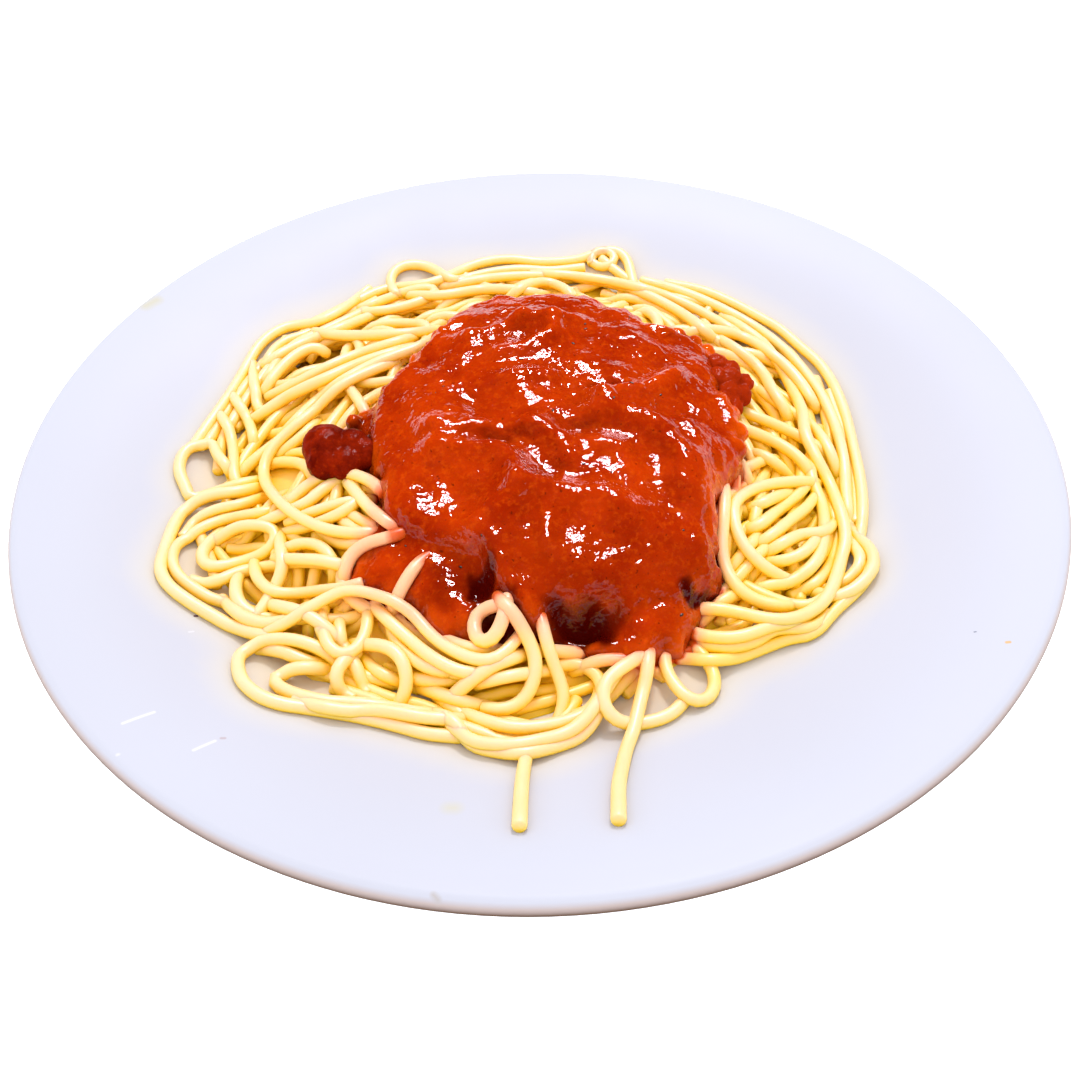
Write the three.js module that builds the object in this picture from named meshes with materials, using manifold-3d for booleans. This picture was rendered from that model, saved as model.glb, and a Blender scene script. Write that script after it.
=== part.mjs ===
// Spaghetti bolognese with its plate: a coupe plate, one heap of noodles on it, the meat sauce
// poured over the middle of the heap, and two big lumps at the edge of the sauce.
// Millimetres, +Z up. The origin is under the middle of the plate, on the surface it stands on.
import * as THREE from 'three';
import { mergeVertices } from 'three/addons/utils/BufferGeometryUtils.js';
import Module from 'manifold-3d';

const wasm = await Module();
wasm.setup();

// ---- driving dimensions ----
const plate = {
  radius: 125, height: 22.5, sides: 52,
  wellRadius: 72, wellLevel: 7, lipRadius: 121.5, rimRise: 14.6, rimSteps: 6,
  lipRound: 2.3, lipAngles: [-35, 5, 45, 90], wall: 4.4,
  footInner: 63, footOuter: 71, footDepth: 2.6, footSlope: 2,
};
const noodle = {
  diameter: 3.1, sides: 5, step: 5.6,
  sink: 0.9,                 // how deep a noodle is fused into what it lies on
  station: 1.5, sag: 0.03, settle: 150,    // spacing of the laid points, droop at each, passes of settling
};
const heap = { x: -5, y: 0, radius: 87, edgeRise: 2, rise: 17, fullness: 0.8 };
const core = {
  reach: 82, lean: 4, wave: 1.6, waves: 5,    // outline: mean radius, more of it to the far side, ripples
  sides: 44, rings: [1, 0.94, 0.82, 0.66, 0.46, 0.24], flatShare: 0.8,
  fill: 0.86, drop: 1.4, least: 1.0,          // its height as a share of the heap's, less a noodle's bulk
};
const sauce = {
  x: 2, y: -4, sides: 54, rings: [0.25, 0.47, 0.66, 0.82, 0.94],
  edge: 2.6, dome: 8.2, domeX: 4, domeY: 0, domeHalfWidth: 50, domeHalfDepth: 62,
  lump: 1.1, lumpLength: 4.5, swellLength: 7, thinLumps: 0.4,
  depth: 6, tuck: [0.93, 0.985], edgeShare: 0.45,    // the skirt that is cut by the core
};
const lumps = {
  meat_lump: { x: -47, y: -9, z: 24, half: [11.5, 6.6, 6], turn: -48, knob: 0.1, knobs: 3 },
  mince_clump: { x: 50, y: 15, z: 20.5, half: [6.2, 9.5, 5.2], turn: -14, knob: 0.16, knobs: 4 },
};
const lumpSides = 14;
const lumpRings = 5;
const gap = 0.35;          // clear space between pieces that touch
const finest = 0.04;       // details smaller than this are smoothed away
const map = { reach: 130, cell: 1 };   // height map that the noodles are laid on

// ---- small helpers ----
const clamp = (value, low, high) => Math.min(high, Math.max(low, value));
const smooth = (t) => t * t * (3 - 2 * t);
const radians = THREE.MathUtils.degToRad;
const openCurve = (points) => new THREE.CatmullRomCurve3(points, false, 'centripetal');

function seeded(seed) {    // mulberry32
  let state = seed >>> 0;
  return () => {
    state = (state + 0x6d2b79f5) >>> 0;
    let t = Math.imul(state ^ (state >>> 15), 1 | state);
    t = (t + Math.imul(t ^ (t >>> 7), 61 | t)) ^ t;
    return ((t ^ (t >>> 14)) >>> 0) / 4294967296;
  };
}

function toSolid(geometry) {
  const bare = geometry.clone();
  bare.deleteAttribute('normal');
  bare.deleteAttribute('uv');
  const merged = mergeVertices(bare, 1e-4);
  const vertProperties = new Float32Array(merged.attributes.position.array);
  const triVerts = new Uint32Array(merged.index.array);
  if (signedVolume(vertProperties, triVerts) < 0) {
    for (let i = 0; i < triVerts.length; i += 3) {
      [triVerts[i + 1], triVerts[i + 2]] = [triVerts[i + 2], triVerts[i + 1]];
    }
  }
  return new wasm.Manifold(new wasm.Mesh({ numProp: 3, vertProperties, triVerts }));
}

function signedVolume(xyz, tri) {
  let sum = 0;
  for (let i = 0; i < tri.length; i += 3) {
    const [a, b, c] = [3 * tri[i], 3 * tri[i + 1], 3 * tri[i + 2]];
    sum += xyz[a] * (xyz[b + 1] * xyz[c + 2] - xyz[b + 2] * xyz[c + 1])
      + xyz[a + 1] * (xyz[b + 2] * xyz[c] - xyz[b] * xyz[c + 2])
      + xyz[a + 2] * (xyz[b] * xyz[c + 1] - xyz[b + 1] * xyz[c]);
  }
  return sum / 6;
}

function toGeometry(solid) {
  const mesh = solid.getMesh();
  const geometry = new THREE.BufferGeometry();
  geometry.setAttribute('position', new THREE.BufferAttribute(new Float32Array(mesh.vertProperties), 3));
  geometry.setIndex(new THREE.BufferAttribute(new Uint32Array(mesh.triVerts), 1));
  geometry.computeVertexNormals();
  return geometry;
}

function biggestPiece(solid) {    // drops loose scraps and fills sealed hollows
  const outer = solid.simplify(finest).decompose().filter((piece) => piece.volume() > 0);
  return outer.reduce((best, piece) => (piece.volume() > best.volume() ? piece : best));
}

// A closed solid from rings of points, with one more point to close it at each end.
function ringSolid(first, rings, last) {
  const count = rings[0].length;
  const points = [first, ...rings.flat(), last];
  const faces = [];
  const at = (ring, k) => 1 + ring * count + (k % count);
  for (let k = 0; k < count; k += 1) {
    faces.push(0, at(0, k), at(0, k + 1));
    for (let ring = 0; ring + 1 < rings.length; ring += 1) {
      faces.push(at(ring, k), at(ring + 1, k), at(ring + 1, k + 1));
      faces.push(at(ring, k), at(ring + 1, k + 1), at(ring, k + 1));
    }
    faces.push(at(rings.length - 1, k), points.length - 1, at(rings.length - 1, k + 1));
  }
  const geometry = new THREE.BufferGeometry();
  geometry.setAttribute('position', new THREE.BufferAttribute(new Float32Array(points.flat()), 3));
  geometry.setIndex(faces);
  return toSolid(geometry);
}

// ---- plate ----
const rimWidth = plate.lipRadius - plate.wellRadius;

function rimLevel(r) {
  return plate.wellLevel + plate.rimRise * smooth(clamp((r - plate.wellRadius) / rimWidth, 0, 1));
}

const rimStations = [];
for (let k = 0; k <= plate.rimSteps; k += 1) {
  rimStations.push(plate.wellRadius + rimWidth * k / plate.rimSteps);
}

function plateTop(r) {     // the flat facets between the stations, not the smooth curve
  if (r <= plate.wellRadius) return plate.wellLevel;
  const span = rimWidth / plate.rimSteps;
  const k = Math.min(plate.rimSteps - 1, Math.floor((r - plate.wellRadius) / span));
  const t = (r - rimStations[k]) / span;
  return rimLevel(rimStations[k]) * (1 - t) + rimLevel(rimStations[k + 1]) * t;
}

function makePlate() {
  const profile = [[0, plate.footDepth], [plate.footInner - plate.footSlope, plate.footDepth]];
  profile.push([plate.footInner, 0], [plate.footOuter, 0]);
  profile.push([plate.footOuter + plate.footSlope, plate.footDepth]);
  for (const k of [2, 4, plate.rimSteps]) {
    profile.push([rimStations[k], rimLevel(rimStations[k]) - plate.wall]);
  }
  for (const angle of plate.lipAngles.map(radians)) {
    profile.push([plate.radius - plate.lipRound * (1 - Math.cos(angle)),
      plate.height - plate.lipRound * (1 - Math.sin(angle))]);
  }
  for (const r of [...rimStations].reverse()) profile.push([r, rimLevel(r)]);
  profile.push([0, plate.wellLevel]);
  const points = profile.map(([r, z]) => new THREE.Vector2(r, z));
  const geometry = new THREE.LatheGeometry(points, plate.sides);
  geometry.rotateX(Math.PI / 2);
  return toSolid(geometry);
}

// ---- heap and its core ----
function heapTop(x, y) {
  const q = Math.hypot(x - heap.x, y - heap.y) / heap.radius;
  const mound = plate.wellLevel + heap.edgeRise + heap.rise * Math.max(0, 1 - q * q) ** heap.fullness;
  return Math.max(mound, plateTop(Math.hypot(x, y)) + heap.edgeRise);
}

function coreTop(x, y) {
  const floor = plateTop(Math.hypot(x, y)) + gap;
  return floor + Math.max(core.least, (heapTop(x, y) - floor) * core.fill - core.drop);
}

function coreReach(angle) {
  return core.reach + core.lean * Math.sin(angle) + core.wave * Math.sin(core.waves * angle);
}

function makeCore(lift = 0) {
  const ring = (share, level) => Array.from({ length: core.sides }, (_, k) => {
    const angle = 2 * Math.PI * k / core.sides;
    const x = heap.x + share * coreReach(angle) * Math.cos(angle);
    const y = heap.y + share * coreReach(angle) * Math.sin(angle);
    return [x, y, level(x, y)];
  });
  const floor = (x, y) => (lift ? 0 : plateTop(Math.hypot(x, y)) + gap);
  const top = (x, y) => coreTop(x, y) + lift;
  const rings = [ring(core.flatShare, floor), ring(1, floor)];
  for (const share of core.rings) rings.push(ring(share, top));
  return ringSolid([heap.x, heap.y, floor(heap.x, heap.y)], rings, [heap.x, heap.y, top(heap.x, heap.y)]);
}

// ---- sauce ----
const sauceOutline = new THREE.CatmullRomCurve3([    // clockwise from the far side, seen from above
  [-7, 53], [5, 53], [14, 54], [27, 45], [34, 34], [41, 36], [47, 28], [50, 24],
  [47, 12], [50, 2], [49, -14], [43, -23], [39, -40], [36, -52], [32, -60], [21, -66],
  [10, -63], [-2, -58], [-8, -50], [-14, -54], [-21, -60], [-31, -53], [-42, -44],
  [-37, -34], [-36, -22], [-39, -12], [-40, 1], [-32, 15], [-27, 31], [-19, 47],
].map(([x, y]) => new THREE.Vector3(x, y, 0)), true, 'centripetal');

function domeShare(x, y) {    // 1 over the thick middle, 0 over the thin lobes
  const q = Math.hypot((x - sauce.domeX) / sauce.domeHalfWidth, (y - sauce.domeY) / sauce.domeHalfDepth);
  return Math.max(0, 1 - q ** 4);
}

function sauceTop(x, y) {
  const bend = Math.sin(y / sauce.swellLength) + x / sauce.lumpLength;
  const lumpy = Math.sin(bend) * Math.cos(y / sauce.lumpLength) + Math.sin((x - y) / sauce.swellLength);
  const share = domeShare(x, y);
  const thick = sauce.edge + (sauce.dome - sauce.edge) * share;
  return heapTop(x, y) + thick + sauce.lump * lumpy * (sauce.thinLumps + (1 - sauce.thinLumps) * share);
}

function makeSauce(bareCore) {
  const outline = sauceOutline.getSpacedPoints(sauce.sides).slice(0, sauce.sides);
  const ring = (share, level) => outline.map((p) => {
    const x = sauce.x + share * (p.x - sauce.x);
    const y = sauce.y + share * (p.y - sauce.y);
    return [x, y, level(x, y)];
  });
  const below = (x, y) => coreTop(x, y) - sauce.depth;
  const edgeLevel = (x, y) => heapTop(x, y) + sauce.edge * sauce.edgeShare;
  const rings = [...sauce.tuck.map((share) => ring(share, below)), ring(1, edgeLevel)];
  for (const share of [...sauce.rings].reverse()) rings.push(ring(share, sauceTop));
  const block = ringSolid([sauce.x, sauce.y, below(sauce.x, sauce.y)], rings,
    [sauce.x, sauce.y, sauceTop(sauce.x, sauce.y)]);
  const cutters = Object.values(lumps).map((lump) => makeLump(lump, gap));
  return biggestPiece(cutters.reduce((rest, cutter) => rest.subtract(cutter), block.subtract(bareCore)));
}

// ---- noodles ----
// Routes in plan, laid in this order, so later ones lie over earlier ones.
const handLaid = [
  [[22, -64], [20.5, -73], [17, -83], [14.5, -92], [13.2, -101], [12.8, -106]],
  [[-3, -76], [-3.5, -84], [-4.5, -92], [-5.5, -107]],
  [[-66, 58], [-45, 75], [-18, 86], [3, 87], [15, 87], [22, 91], [28, 88], [29, 80]],
  [[-20, 77], [-28, 82], [-35, 85], [-41, 81], [-40, 75], [-30, 72], [-12, 73]],
  [[40, 76], [62, 60], [74, 41], [80, 20], [79, 0], [78, -18], [76, -36]],
  [[-44, 73], [-61, 62], [-74, 49], [-80, 32], [-84, 16]],
  [[-64, -24], [-76, -22], [-83, -23], [-87, -14], [-90, 0], [-88, 7], [-82, 7], [-77, -2], [-70, -11]],
  [[-86, -14], [-87, -32], [-82, -43], [-72, -49], [-60, -54], [-47, -57]],
  [[-30, -79], [-48, -75], [-60, -72], [-65, -64], [-60, -57], [-46, -62], [-40, -68]],
  [[-20, -78], [-35, -74], [-50, -71], [-57, -66], [-50, -64]],
  [[-30, -70], [-22, -76], [-15, -85], [-4, -87], [8, -82], [12, -73], [4, -68], [-10, -71]],
  [[40, -62], [34, -68], [33, -74], [27, -73], [25, -66]],
  [[12, -70], [12, -77], [18, -80], [29, -76]],
  [[30, -66], [45, -63], [60, -57], [66, -50]],
  [[62, -48], [74, -44], [76, -35], [70, -29]],
  [[72, -14], [58, -17], [46, -25], [46, -38], [54, -45]],
  [[66, -22], [62, -40], [50, -48], [40, -52]],
  [[34, -58], [42, -54.5], [55, -54], [66, -44], [72, -27], [68, -5], [68, 22], [64, 46], [54, 60]],
  [[49, 42], [58, 32], [62, 19], [63, 4]],
  [[-45, -66], [-44, -58], [-40, -53], [-37, -60], [-42, -64]],
  [[-52, -38], [-62, -36], [-64, -41], [-56, -47], [-44, -47.5]],
  [[-66, -55], [-52, -52], [-40, -50.5], [-30, -54], [-22, -62], [-8, -64], [4, -67]],
  [[-40, -62], [-32, -63], [-29, -70], [-32, -75]],
  [[-36, 30], [-52, 17], [-64, 2], [-66, -11], [-58, -23], [-45, -32]],
];

const filler = {
  count: 17, tries: 60, seed: 2039, shortest: 45, longest: 85, ripple: 2.5, clear: 4, drift: 1.1, bends: 7,
  elbowRoom: 4.2,    // a stretch this near another one counts as crowded
  crowdedCost: 2, leastOut: 0.02,
  inside: 0.62, outside: 0.92,    // share of the heap's radius, to turn a length into an angle
  slowest: 4, fastest: 10,        // how quickly the ripple goes
};
const lookAside = 0.12;    // radians to each side, in reading how far the sauce reaches

function sauceReach(angle, outline) {    // how far the sauce reaches from the middle of the heap
  const reach = outline.map((p) => {
    const [x, y] = [p.x - heap.x, p.y - heap.y];
    const ahead = (x * Math.cos(angle) + y * Math.sin(angle)) / Math.hypot(x, y);
    return ahead > Math.cos(lookAside) ? Math.hypot(x, y) : 0;
  });
  return Math.max(...reach);
}

function fillerRoute(random, outline) {    // a wavy stretch between the sauce and the heap's edge
  const start = 2 * Math.PI * random();
  const share = random();
  const drift = (random() - 0.5) * filler.drift;
  const length = filler.shortest + (filler.longest - filler.shortest) * random();
  const turn = length / (heap.radius * (filler.inside + (filler.outside - filler.inside) * share));
  const wave = filler.slowest + (filler.fastest - filler.slowest) * random();
  const phase = 2 * Math.PI * random();
  const points = [];
  for (let k = 0; k < filler.bends; k += 1) {
    const t = k / (filler.bends - 1);
    const angle = start + turn * t;
    const out = clamp(share + drift * (t - 0.5), filler.leastOut, 1 - filler.leastOut);
    const r = (sauceReach(angle, outline) + filler.clear) * (1 - out) + coreReach(angle) * out
      + filler.ripple * Math.sin(wave * t + phase);
    points.push([heap.x + r * Math.cos(angle), heap.y + r * Math.sin(angle)]);
  }
  return points;
}

const cells = 2 * map.reach / map.cell + 1;
const heights = new Float32Array(cells * cells);

function forCells(x, y, reach, visit) {
  const low = (v) => Math.max(0, Math.ceil((v - reach + map.reach) / map.cell));
  const high = (v) => Math.min(cells - 1, Math.floor((v + reach + map.reach) / map.cell));
  for (let j = low(y); j <= high(y); j += 1) {
    for (let i = low(x); i <= high(x); i += 1) {
      const d = Math.hypot(i * map.cell - map.reach - x, j * map.cell - map.reach - y);
      if (d < reach) visit(j * cells + i, d);
    }
  }
}

function fillMap() {
  for (let j = 0; j < cells; j += 1) {
    for (let i = 0; i < cells; i += 1) {
      const x = i * map.cell - map.reach;
      const y = j * map.cell - map.reach;
      const angle = Math.atan2(y - heap.y, x - heap.x);
      const onCore = Math.hypot(x - heap.x, y - heap.y) < coreReach(angle);
      heights[j * cells + i] = onCore ? coreTop(x, y) - noodle.sink : plateTop(Math.hypot(x, y)) + gap;
    }
  }
}

function nearSauce(x, y, outline) {
  let inside = false;
  let nearest = Infinity;
  outline.forEach((a, k) => {
    const b = outline[(k + 1) % outline.length];
    if ((a.y > y) !== (b.y > y) && x < a.x + (b.x - a.x) * (y - a.y) / (b.y - a.y)) inside = !inside;
    nearest = Math.min(nearest, Math.hypot(a.x - x, a.y - y));
  });
  return inside || nearest < noodle.diameter / 2 + 2 * gap;
}

function nearLump(px, py) {
  const clear = noodle.diameter / 2 + 2 * gap;
  return Object.values(lumps).some(({ x, y, half, turn, knob }) => {
    const [across, along] = [Math.cos(radians(turn)), Math.sin(radians(turn))];
    const u = (px - x) * across + (py - y) * along;
    const v = (py - y) * across - (px - x) * along;
    return Math.hypot(u / (half[0] * (1 + knob) + clear), v / (half[1] * (1 + knob) + clear)) < 1;
  });
}

function longestRun(points, keep) {
  let best = [];
  let run = [];
  for (const point of [...points, null]) {
    if (point && keep(point)) run.push(point);
    else {
      if (run.length > best.length) best = run;
      run = [];
    }
  }
  return best;
}

function planRun(route, outline) {    // the longest part of a route that is clear of the toppings
  const curve = openCurve(route.map(([x, y]) => new THREE.Vector3(x, y, 0)));
  const stations = curve.getSpacedPoints(Math.ceil(curve.getLength() / noodle.station));
  return longestRun(stations, (p) => !nearSauce(p.x, p.y, outline) && !nearLump(p.x, p.y));
}

function planFillers(outline, taken) {    // each goes where it finds the most free room
  const random = seeded(filler.seed);
  const crowd = new Uint8Array(cells * cells);
  const take = (cell) => { crowd[cell] = 1; };
  const mark = (run) => run.forEach((p) => forCells(p.x, p.y, filler.elbowRoom, take));
  const index = (v) => Math.round((v + map.reach) / map.cell);
  const cellAt = (p) => index(p.y) * cells + index(p.x);
  taken.forEach(mark);
  return Array.from({ length: filler.count }, () => {
    let best = { room: -Infinity };
    for (let k = 0; k < filler.tries; k += 1) {
      const run = planRun(fillerRoute(random, outline), outline);
      const crowded = run.filter((p) => crowd[cellAt(p)]).length;
      const room = run.length - (1 + filler.crowdedCost) * crowded;
      if (room > best.room) best = { room, run };
    }
    mark(best.run);
    return best.run;
  });
}

function layNoodle(run) {
  const radius = noodle.diameter / 2;
  const needed = run.map((p) => {
    let z = 0;
    forCells(p.x, p.y, radius, (cell, d) => {
      z = Math.max(z, heights[cell] + Math.sqrt(radius * radius - d * d));
    });
    return z;
  });
  const level = [...needed];
  for (let pass = 0; pass < noodle.settle; pass += 1) {
    for (let i = 1; i + 1 < level.length; i += 1) {
      level[i] = Math.max(needed[i], (level[i - 1] + level[i + 1]) / 2 - noodle.sag);
    }
  }
  run.forEach((p, i) => {
    forCells(p.x, p.y, radius, (cell, d) => {
      heights[cell] = Math.max(heights[cell], level[i] + Math.sqrt(radius * radius - d * d) - noodle.sink);
    });
  });
  const path = openCurve(run.map((p, i) => new THREE.Vector3(p.x, p.y, level[i])));
  const section = new THREE.Shape(Array.from({ length: noodle.sides }, (_, k) => {
    const angle = 2 * Math.PI * k / noodle.sides;
    return new THREE.Vector2(radius * Math.cos(angle), radius * Math.sin(angle));
  }));
  const steps = Math.ceil(path.getLength() / noodle.step);
  return toSolid(new THREE.ExtrudeGeometry(section, { steps, extrudePath: path, bevelEnabled: false }));
}

function makeNoodles(bareCore) {
  fillMap();
  const outline = sauceOutline.getSpacedPoints(sauce.sides * 2);
  const onTop = handLaid.map((route) => planRun(route, outline));
  const runs = planFillers(outline, onTop).concat(onTop);
  return biggestPiece(runs.reduce((heaped, run) => heaped.add(layNoodle(run)), bareCore));
}

// ---- lumps in the sauce ----
function makeLump({ x, y, z, half, turn, knob, knobs }, margin = 0) {
  const rings = [];
  const [a, b, c] = half.map((size) => size + margin);
  const [across, along] = [Math.cos(radians(turn)), Math.sin(radians(turn))];
  for (let j = 1; j <= lumpRings; j += 1) {
    const tilt = Math.PI * j / (lumpRings + 1);
    rings.push(Array.from({ length: lumpSides }, (_, k) => {
      const angle = 2 * Math.PI * k / lumpSides;
      const bump = 1 + knob * Math.sin(knobs * angle + 2 * tilt) * Math.sin(knobs * tilt + angle);
      const u = a * bump * Math.sin(tilt) * Math.cos(angle);
      const v = b * bump * Math.sin(tilt) * Math.sin(angle);
      return [x + u * across - v * along, y + u * along + v * across, z - c * bump * Math.cos(tilt)];
    }));
  }
  return ringSolid([x, y, z - c], rings, [x, y, z + c]);
}

// ---- the object ----
const bareCore = makeCore();
const liftedCore = makeCore(gap);
const materials = {
  porcelain: { color: 0xeef0fa, roughness: 0.25, metalness: 0 },
  pasta: { color: 0xf7e39a, roughness: 0.45, metalness: 0 },
  sauce: { color: 0xc63a08, roughness: 0.25, metalness: 0 },
  meat: { color: 0x7a1604, roughness: 0.4, metalness: 0 },
};

const dish = new THREE.Group();
function place(name, solid, material) {
  const mesh = new THREE.Mesh(toGeometry(solid), new THREE.MeshStandardMaterial(materials[material]));
  mesh.name = name;
  dish.add(mesh);
}

place('plate', makePlate(), 'porcelain');
place('noodles', makeNoodles(bareCore), 'pasta');
place('sauce', makeSauce(liftedCore), 'sauce');
for (const [name, lump] of Object.entries(lumps)) {
  place(name, biggestPiece(makeLump(lump).subtract(liftedCore)), 'meat');
}

export default dish;
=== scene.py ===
import math

import bpy
import numpy as np
from mathutils import Matrix, Vector
from mathutils.bvhtree import BVHTree


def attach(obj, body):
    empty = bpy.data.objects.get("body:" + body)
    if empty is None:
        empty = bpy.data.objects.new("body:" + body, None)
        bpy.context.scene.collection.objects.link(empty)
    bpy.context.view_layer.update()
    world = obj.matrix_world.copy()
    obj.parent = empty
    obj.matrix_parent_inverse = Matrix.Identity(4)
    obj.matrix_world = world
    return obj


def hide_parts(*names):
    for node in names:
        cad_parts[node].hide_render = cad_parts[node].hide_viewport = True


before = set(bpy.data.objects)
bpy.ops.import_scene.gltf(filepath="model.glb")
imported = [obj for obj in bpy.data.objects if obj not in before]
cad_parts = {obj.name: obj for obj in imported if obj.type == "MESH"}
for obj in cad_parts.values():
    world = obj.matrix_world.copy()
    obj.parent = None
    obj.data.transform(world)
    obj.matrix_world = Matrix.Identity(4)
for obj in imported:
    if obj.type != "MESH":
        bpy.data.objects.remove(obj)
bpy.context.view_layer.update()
mm = 0.001    # sizes below are in millimetres, meshes are in metres


# camera
cameraView = {
    "lens": 38.33, "sensor": 36.0, "distance": 286.89, "aim": (0.07, -16.76, 0.0),
    "elevation": 46.503, "roll": -1.845,
}


def makeCamera():
    bpy.ops.object.camera_add()
    camera = bpy.context.object
    camera.name = "camera"
    lift = math.radians(cameraView["elevation"])
    away = Vector((0, -math.cos(lift), math.sin(lift))) * cameraView["distance"]
    place = Matrix.Translation((Vector(cameraView["aim"]) + away) * mm)
    tilt = Matrix.Rotation(math.pi / 2 - lift, 4, "X")
    roll = Matrix.Rotation(math.radians(cameraView["roll"]), 4, "Z")
    camera.matrix_world = place @ tilt @ roll
    camera.data.lens = cameraView["lens"]
    camera.data.sensor_width = cameraView["sensor"]
    camera.data.clip_start = 0.01
    bpy.context.scene.camera = camera


makeCamera()
print("camera ready")


# working helpers
def startClean():
    if bpy.context.object and bpy.context.object.mode != "OBJECT":
        bpy.ops.object.mode_set(mode="OBJECT")
    bpy.ops.object.select_all(action="DESELECT")


def pick(thing):
    startClean()
    thing.select_set(True)
    bpy.context.view_layer.objects.active = thing


def useModifier(thing, kind, **settings):
    pick(thing)
    made = thing.modifiers.new(kind.lower(), kind)
    for name, value in settings.items():
        setattr(made, name, value)
    bpy.ops.object.modifier_apply(modifier=made.name)


def joinAll(things, name):
    startClean()
    for thing in things:
        thing.select_set(True)
    bpy.context.view_layer.objects.active = things[0]
    bpy.ops.object.join()
    things[0].name = name
    things[0].data.name = name
    return things[0]


def startEdit():    # opens the active piece with all of it selected
    bpy.ops.object.mode_set(mode="EDIT")
    bpy.ops.mesh.select_all(action="SELECT")


def endEdit():
    bpy.ops.object.mode_set(mode="OBJECT")


def settle(thing):
    pick(thing)
    bpy.ops.object.transform_apply(location=True, rotation=True, scale=True)


def faceOutwards(thing):
    pick(thing)
    startEdit()
    bpy.ops.mesh.remove_doubles(threshold=1e-7)
    bpy.ops.mesh.normals_make_consistent(inside=False)
    endEdit()


def clothe(thing, material, nodeName):
    thing.data.materials.clear()
    thing.data.materials.append(material)
    pick(thing)
    bpy.ops.object.shade_smooth()
    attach(thing, "root")
    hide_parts(nodeName)


def readPoints(thing):
    spots = np.empty(len(thing.data.vertices) * 3)
    thing.data.vertices.foreach_get("co", spots)
    return spots.reshape(-1, 3) / mm


def writePoints(thing, spots):
    thing.data.vertices.foreach_set("co", (spots * mm).ravel())
    thing.data.update()


def addAttribute(thing, name, values):
    made = thing.data.attributes.new(name, "FLOAT", "POINT")
    made.data.foreach_set("value", np.asarray(values, dtype=np.float32))


# material helpers
def newMaterial(name):
    material = bpy.data.materials.new(name)
    material.use_nodes = True
    return material, material.node_tree, material.node_tree.nodes["Principled BSDF"]


def addNode(tree, kind, values=None, **settings):
    made = tree.nodes.new("ShaderNode" + kind)
    for name, value in settings.items():
        setattr(made, name, value)
    for name, value in (values or {}).items():
        made.inputs[name].default_value = value
    return made


def wire(tree, start, end):
    tree.links.new(start, end)


def noiseAt(tree, spots, scale, detail, roughness=0.55):
    made = addNode(tree, "TexNoise", {"Scale": scale, "Detail": detail, "Roughness": roughness})
    wire(tree, spots, made.inputs["Vector"])
    return made.outputs["Fac"]


def blendColours(tree, share, first, second):
    made = addNode(tree, "Mix", data_type="RGBA")
    wire(tree, share, made.inputs[0])
    for socket, colour in ((made.inputs[6], first), (made.inputs[7], second)):
        if isinstance(colour, bpy.types.NodeSocket):
            wire(tree, colour, socket)
        else:
            socket.default_value = (*colour, 1.0)
    return made.outputs[2]


def remap(tree, value, low, high, newLow=0.0, newHigh=1.0):
    made = addNode(tree, "MapRange", {"From Min": low, "From Max": high, "To Min": newLow,
                                      "To Max": newHigh})
    wire(tree, value, made.inputs["Value"])
    return made.outputs["Result"]


def calculate(tree, operation, first, second):
    made = addNode(tree, "Math", operation=operation)
    for socket, value in zip(made.inputs, (first, second)):
        if isinstance(value, bpy.types.NodeSocket):
            wire(tree, value, socket)
        else:
            socket.default_value = value
    return made.outputs[0]


def addBump(tree, shader, height, strength, distance, below=None):
    made = addNode(tree, "Bump", {"Strength": strength, "Distance": distance})
    wire(tree, height, made.inputs["Height"])
    if below:
        wire(tree, below.outputs["Normal"], made.inputs["Normal"])
    wire(tree, made.outputs["Normal"], shader.inputs["Normal"])
    return made


def attributeAt(tree, name):
    return addNode(tree, "Attribute", attribute_name=name).outputs["Fac"]


def objectSpots(tree):
    return addNode(tree, "TexCoord").outputs["Object"]


def splitVector(tree, vector):
    made = addNode(tree, "SeparateXYZ")
    wire(tree, vector, made.inputs[0])
    return made.outputs


def facingUp(tree):    # 1 where the surface faces up, -1 where it faces down
    return splitVector(tree, addNode(tree, "NewGeometry").outputs["Normal"])["Z"]


def varyRoughness(tree, shader, noise, low, smooth, rough):
    wire(tree, remap(tree, noise, low, 0.7, smooth, rough), shader.inputs["Roughness"])


def letLightIn(shader, weight, radius, scale):
    shader.inputs["Subsurface Weight"].default_value = weight
    shader.inputs["Subsurface Radius"].default_value = radius
    shader.inputs["Subsurface Scale"].default_value = scale


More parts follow.
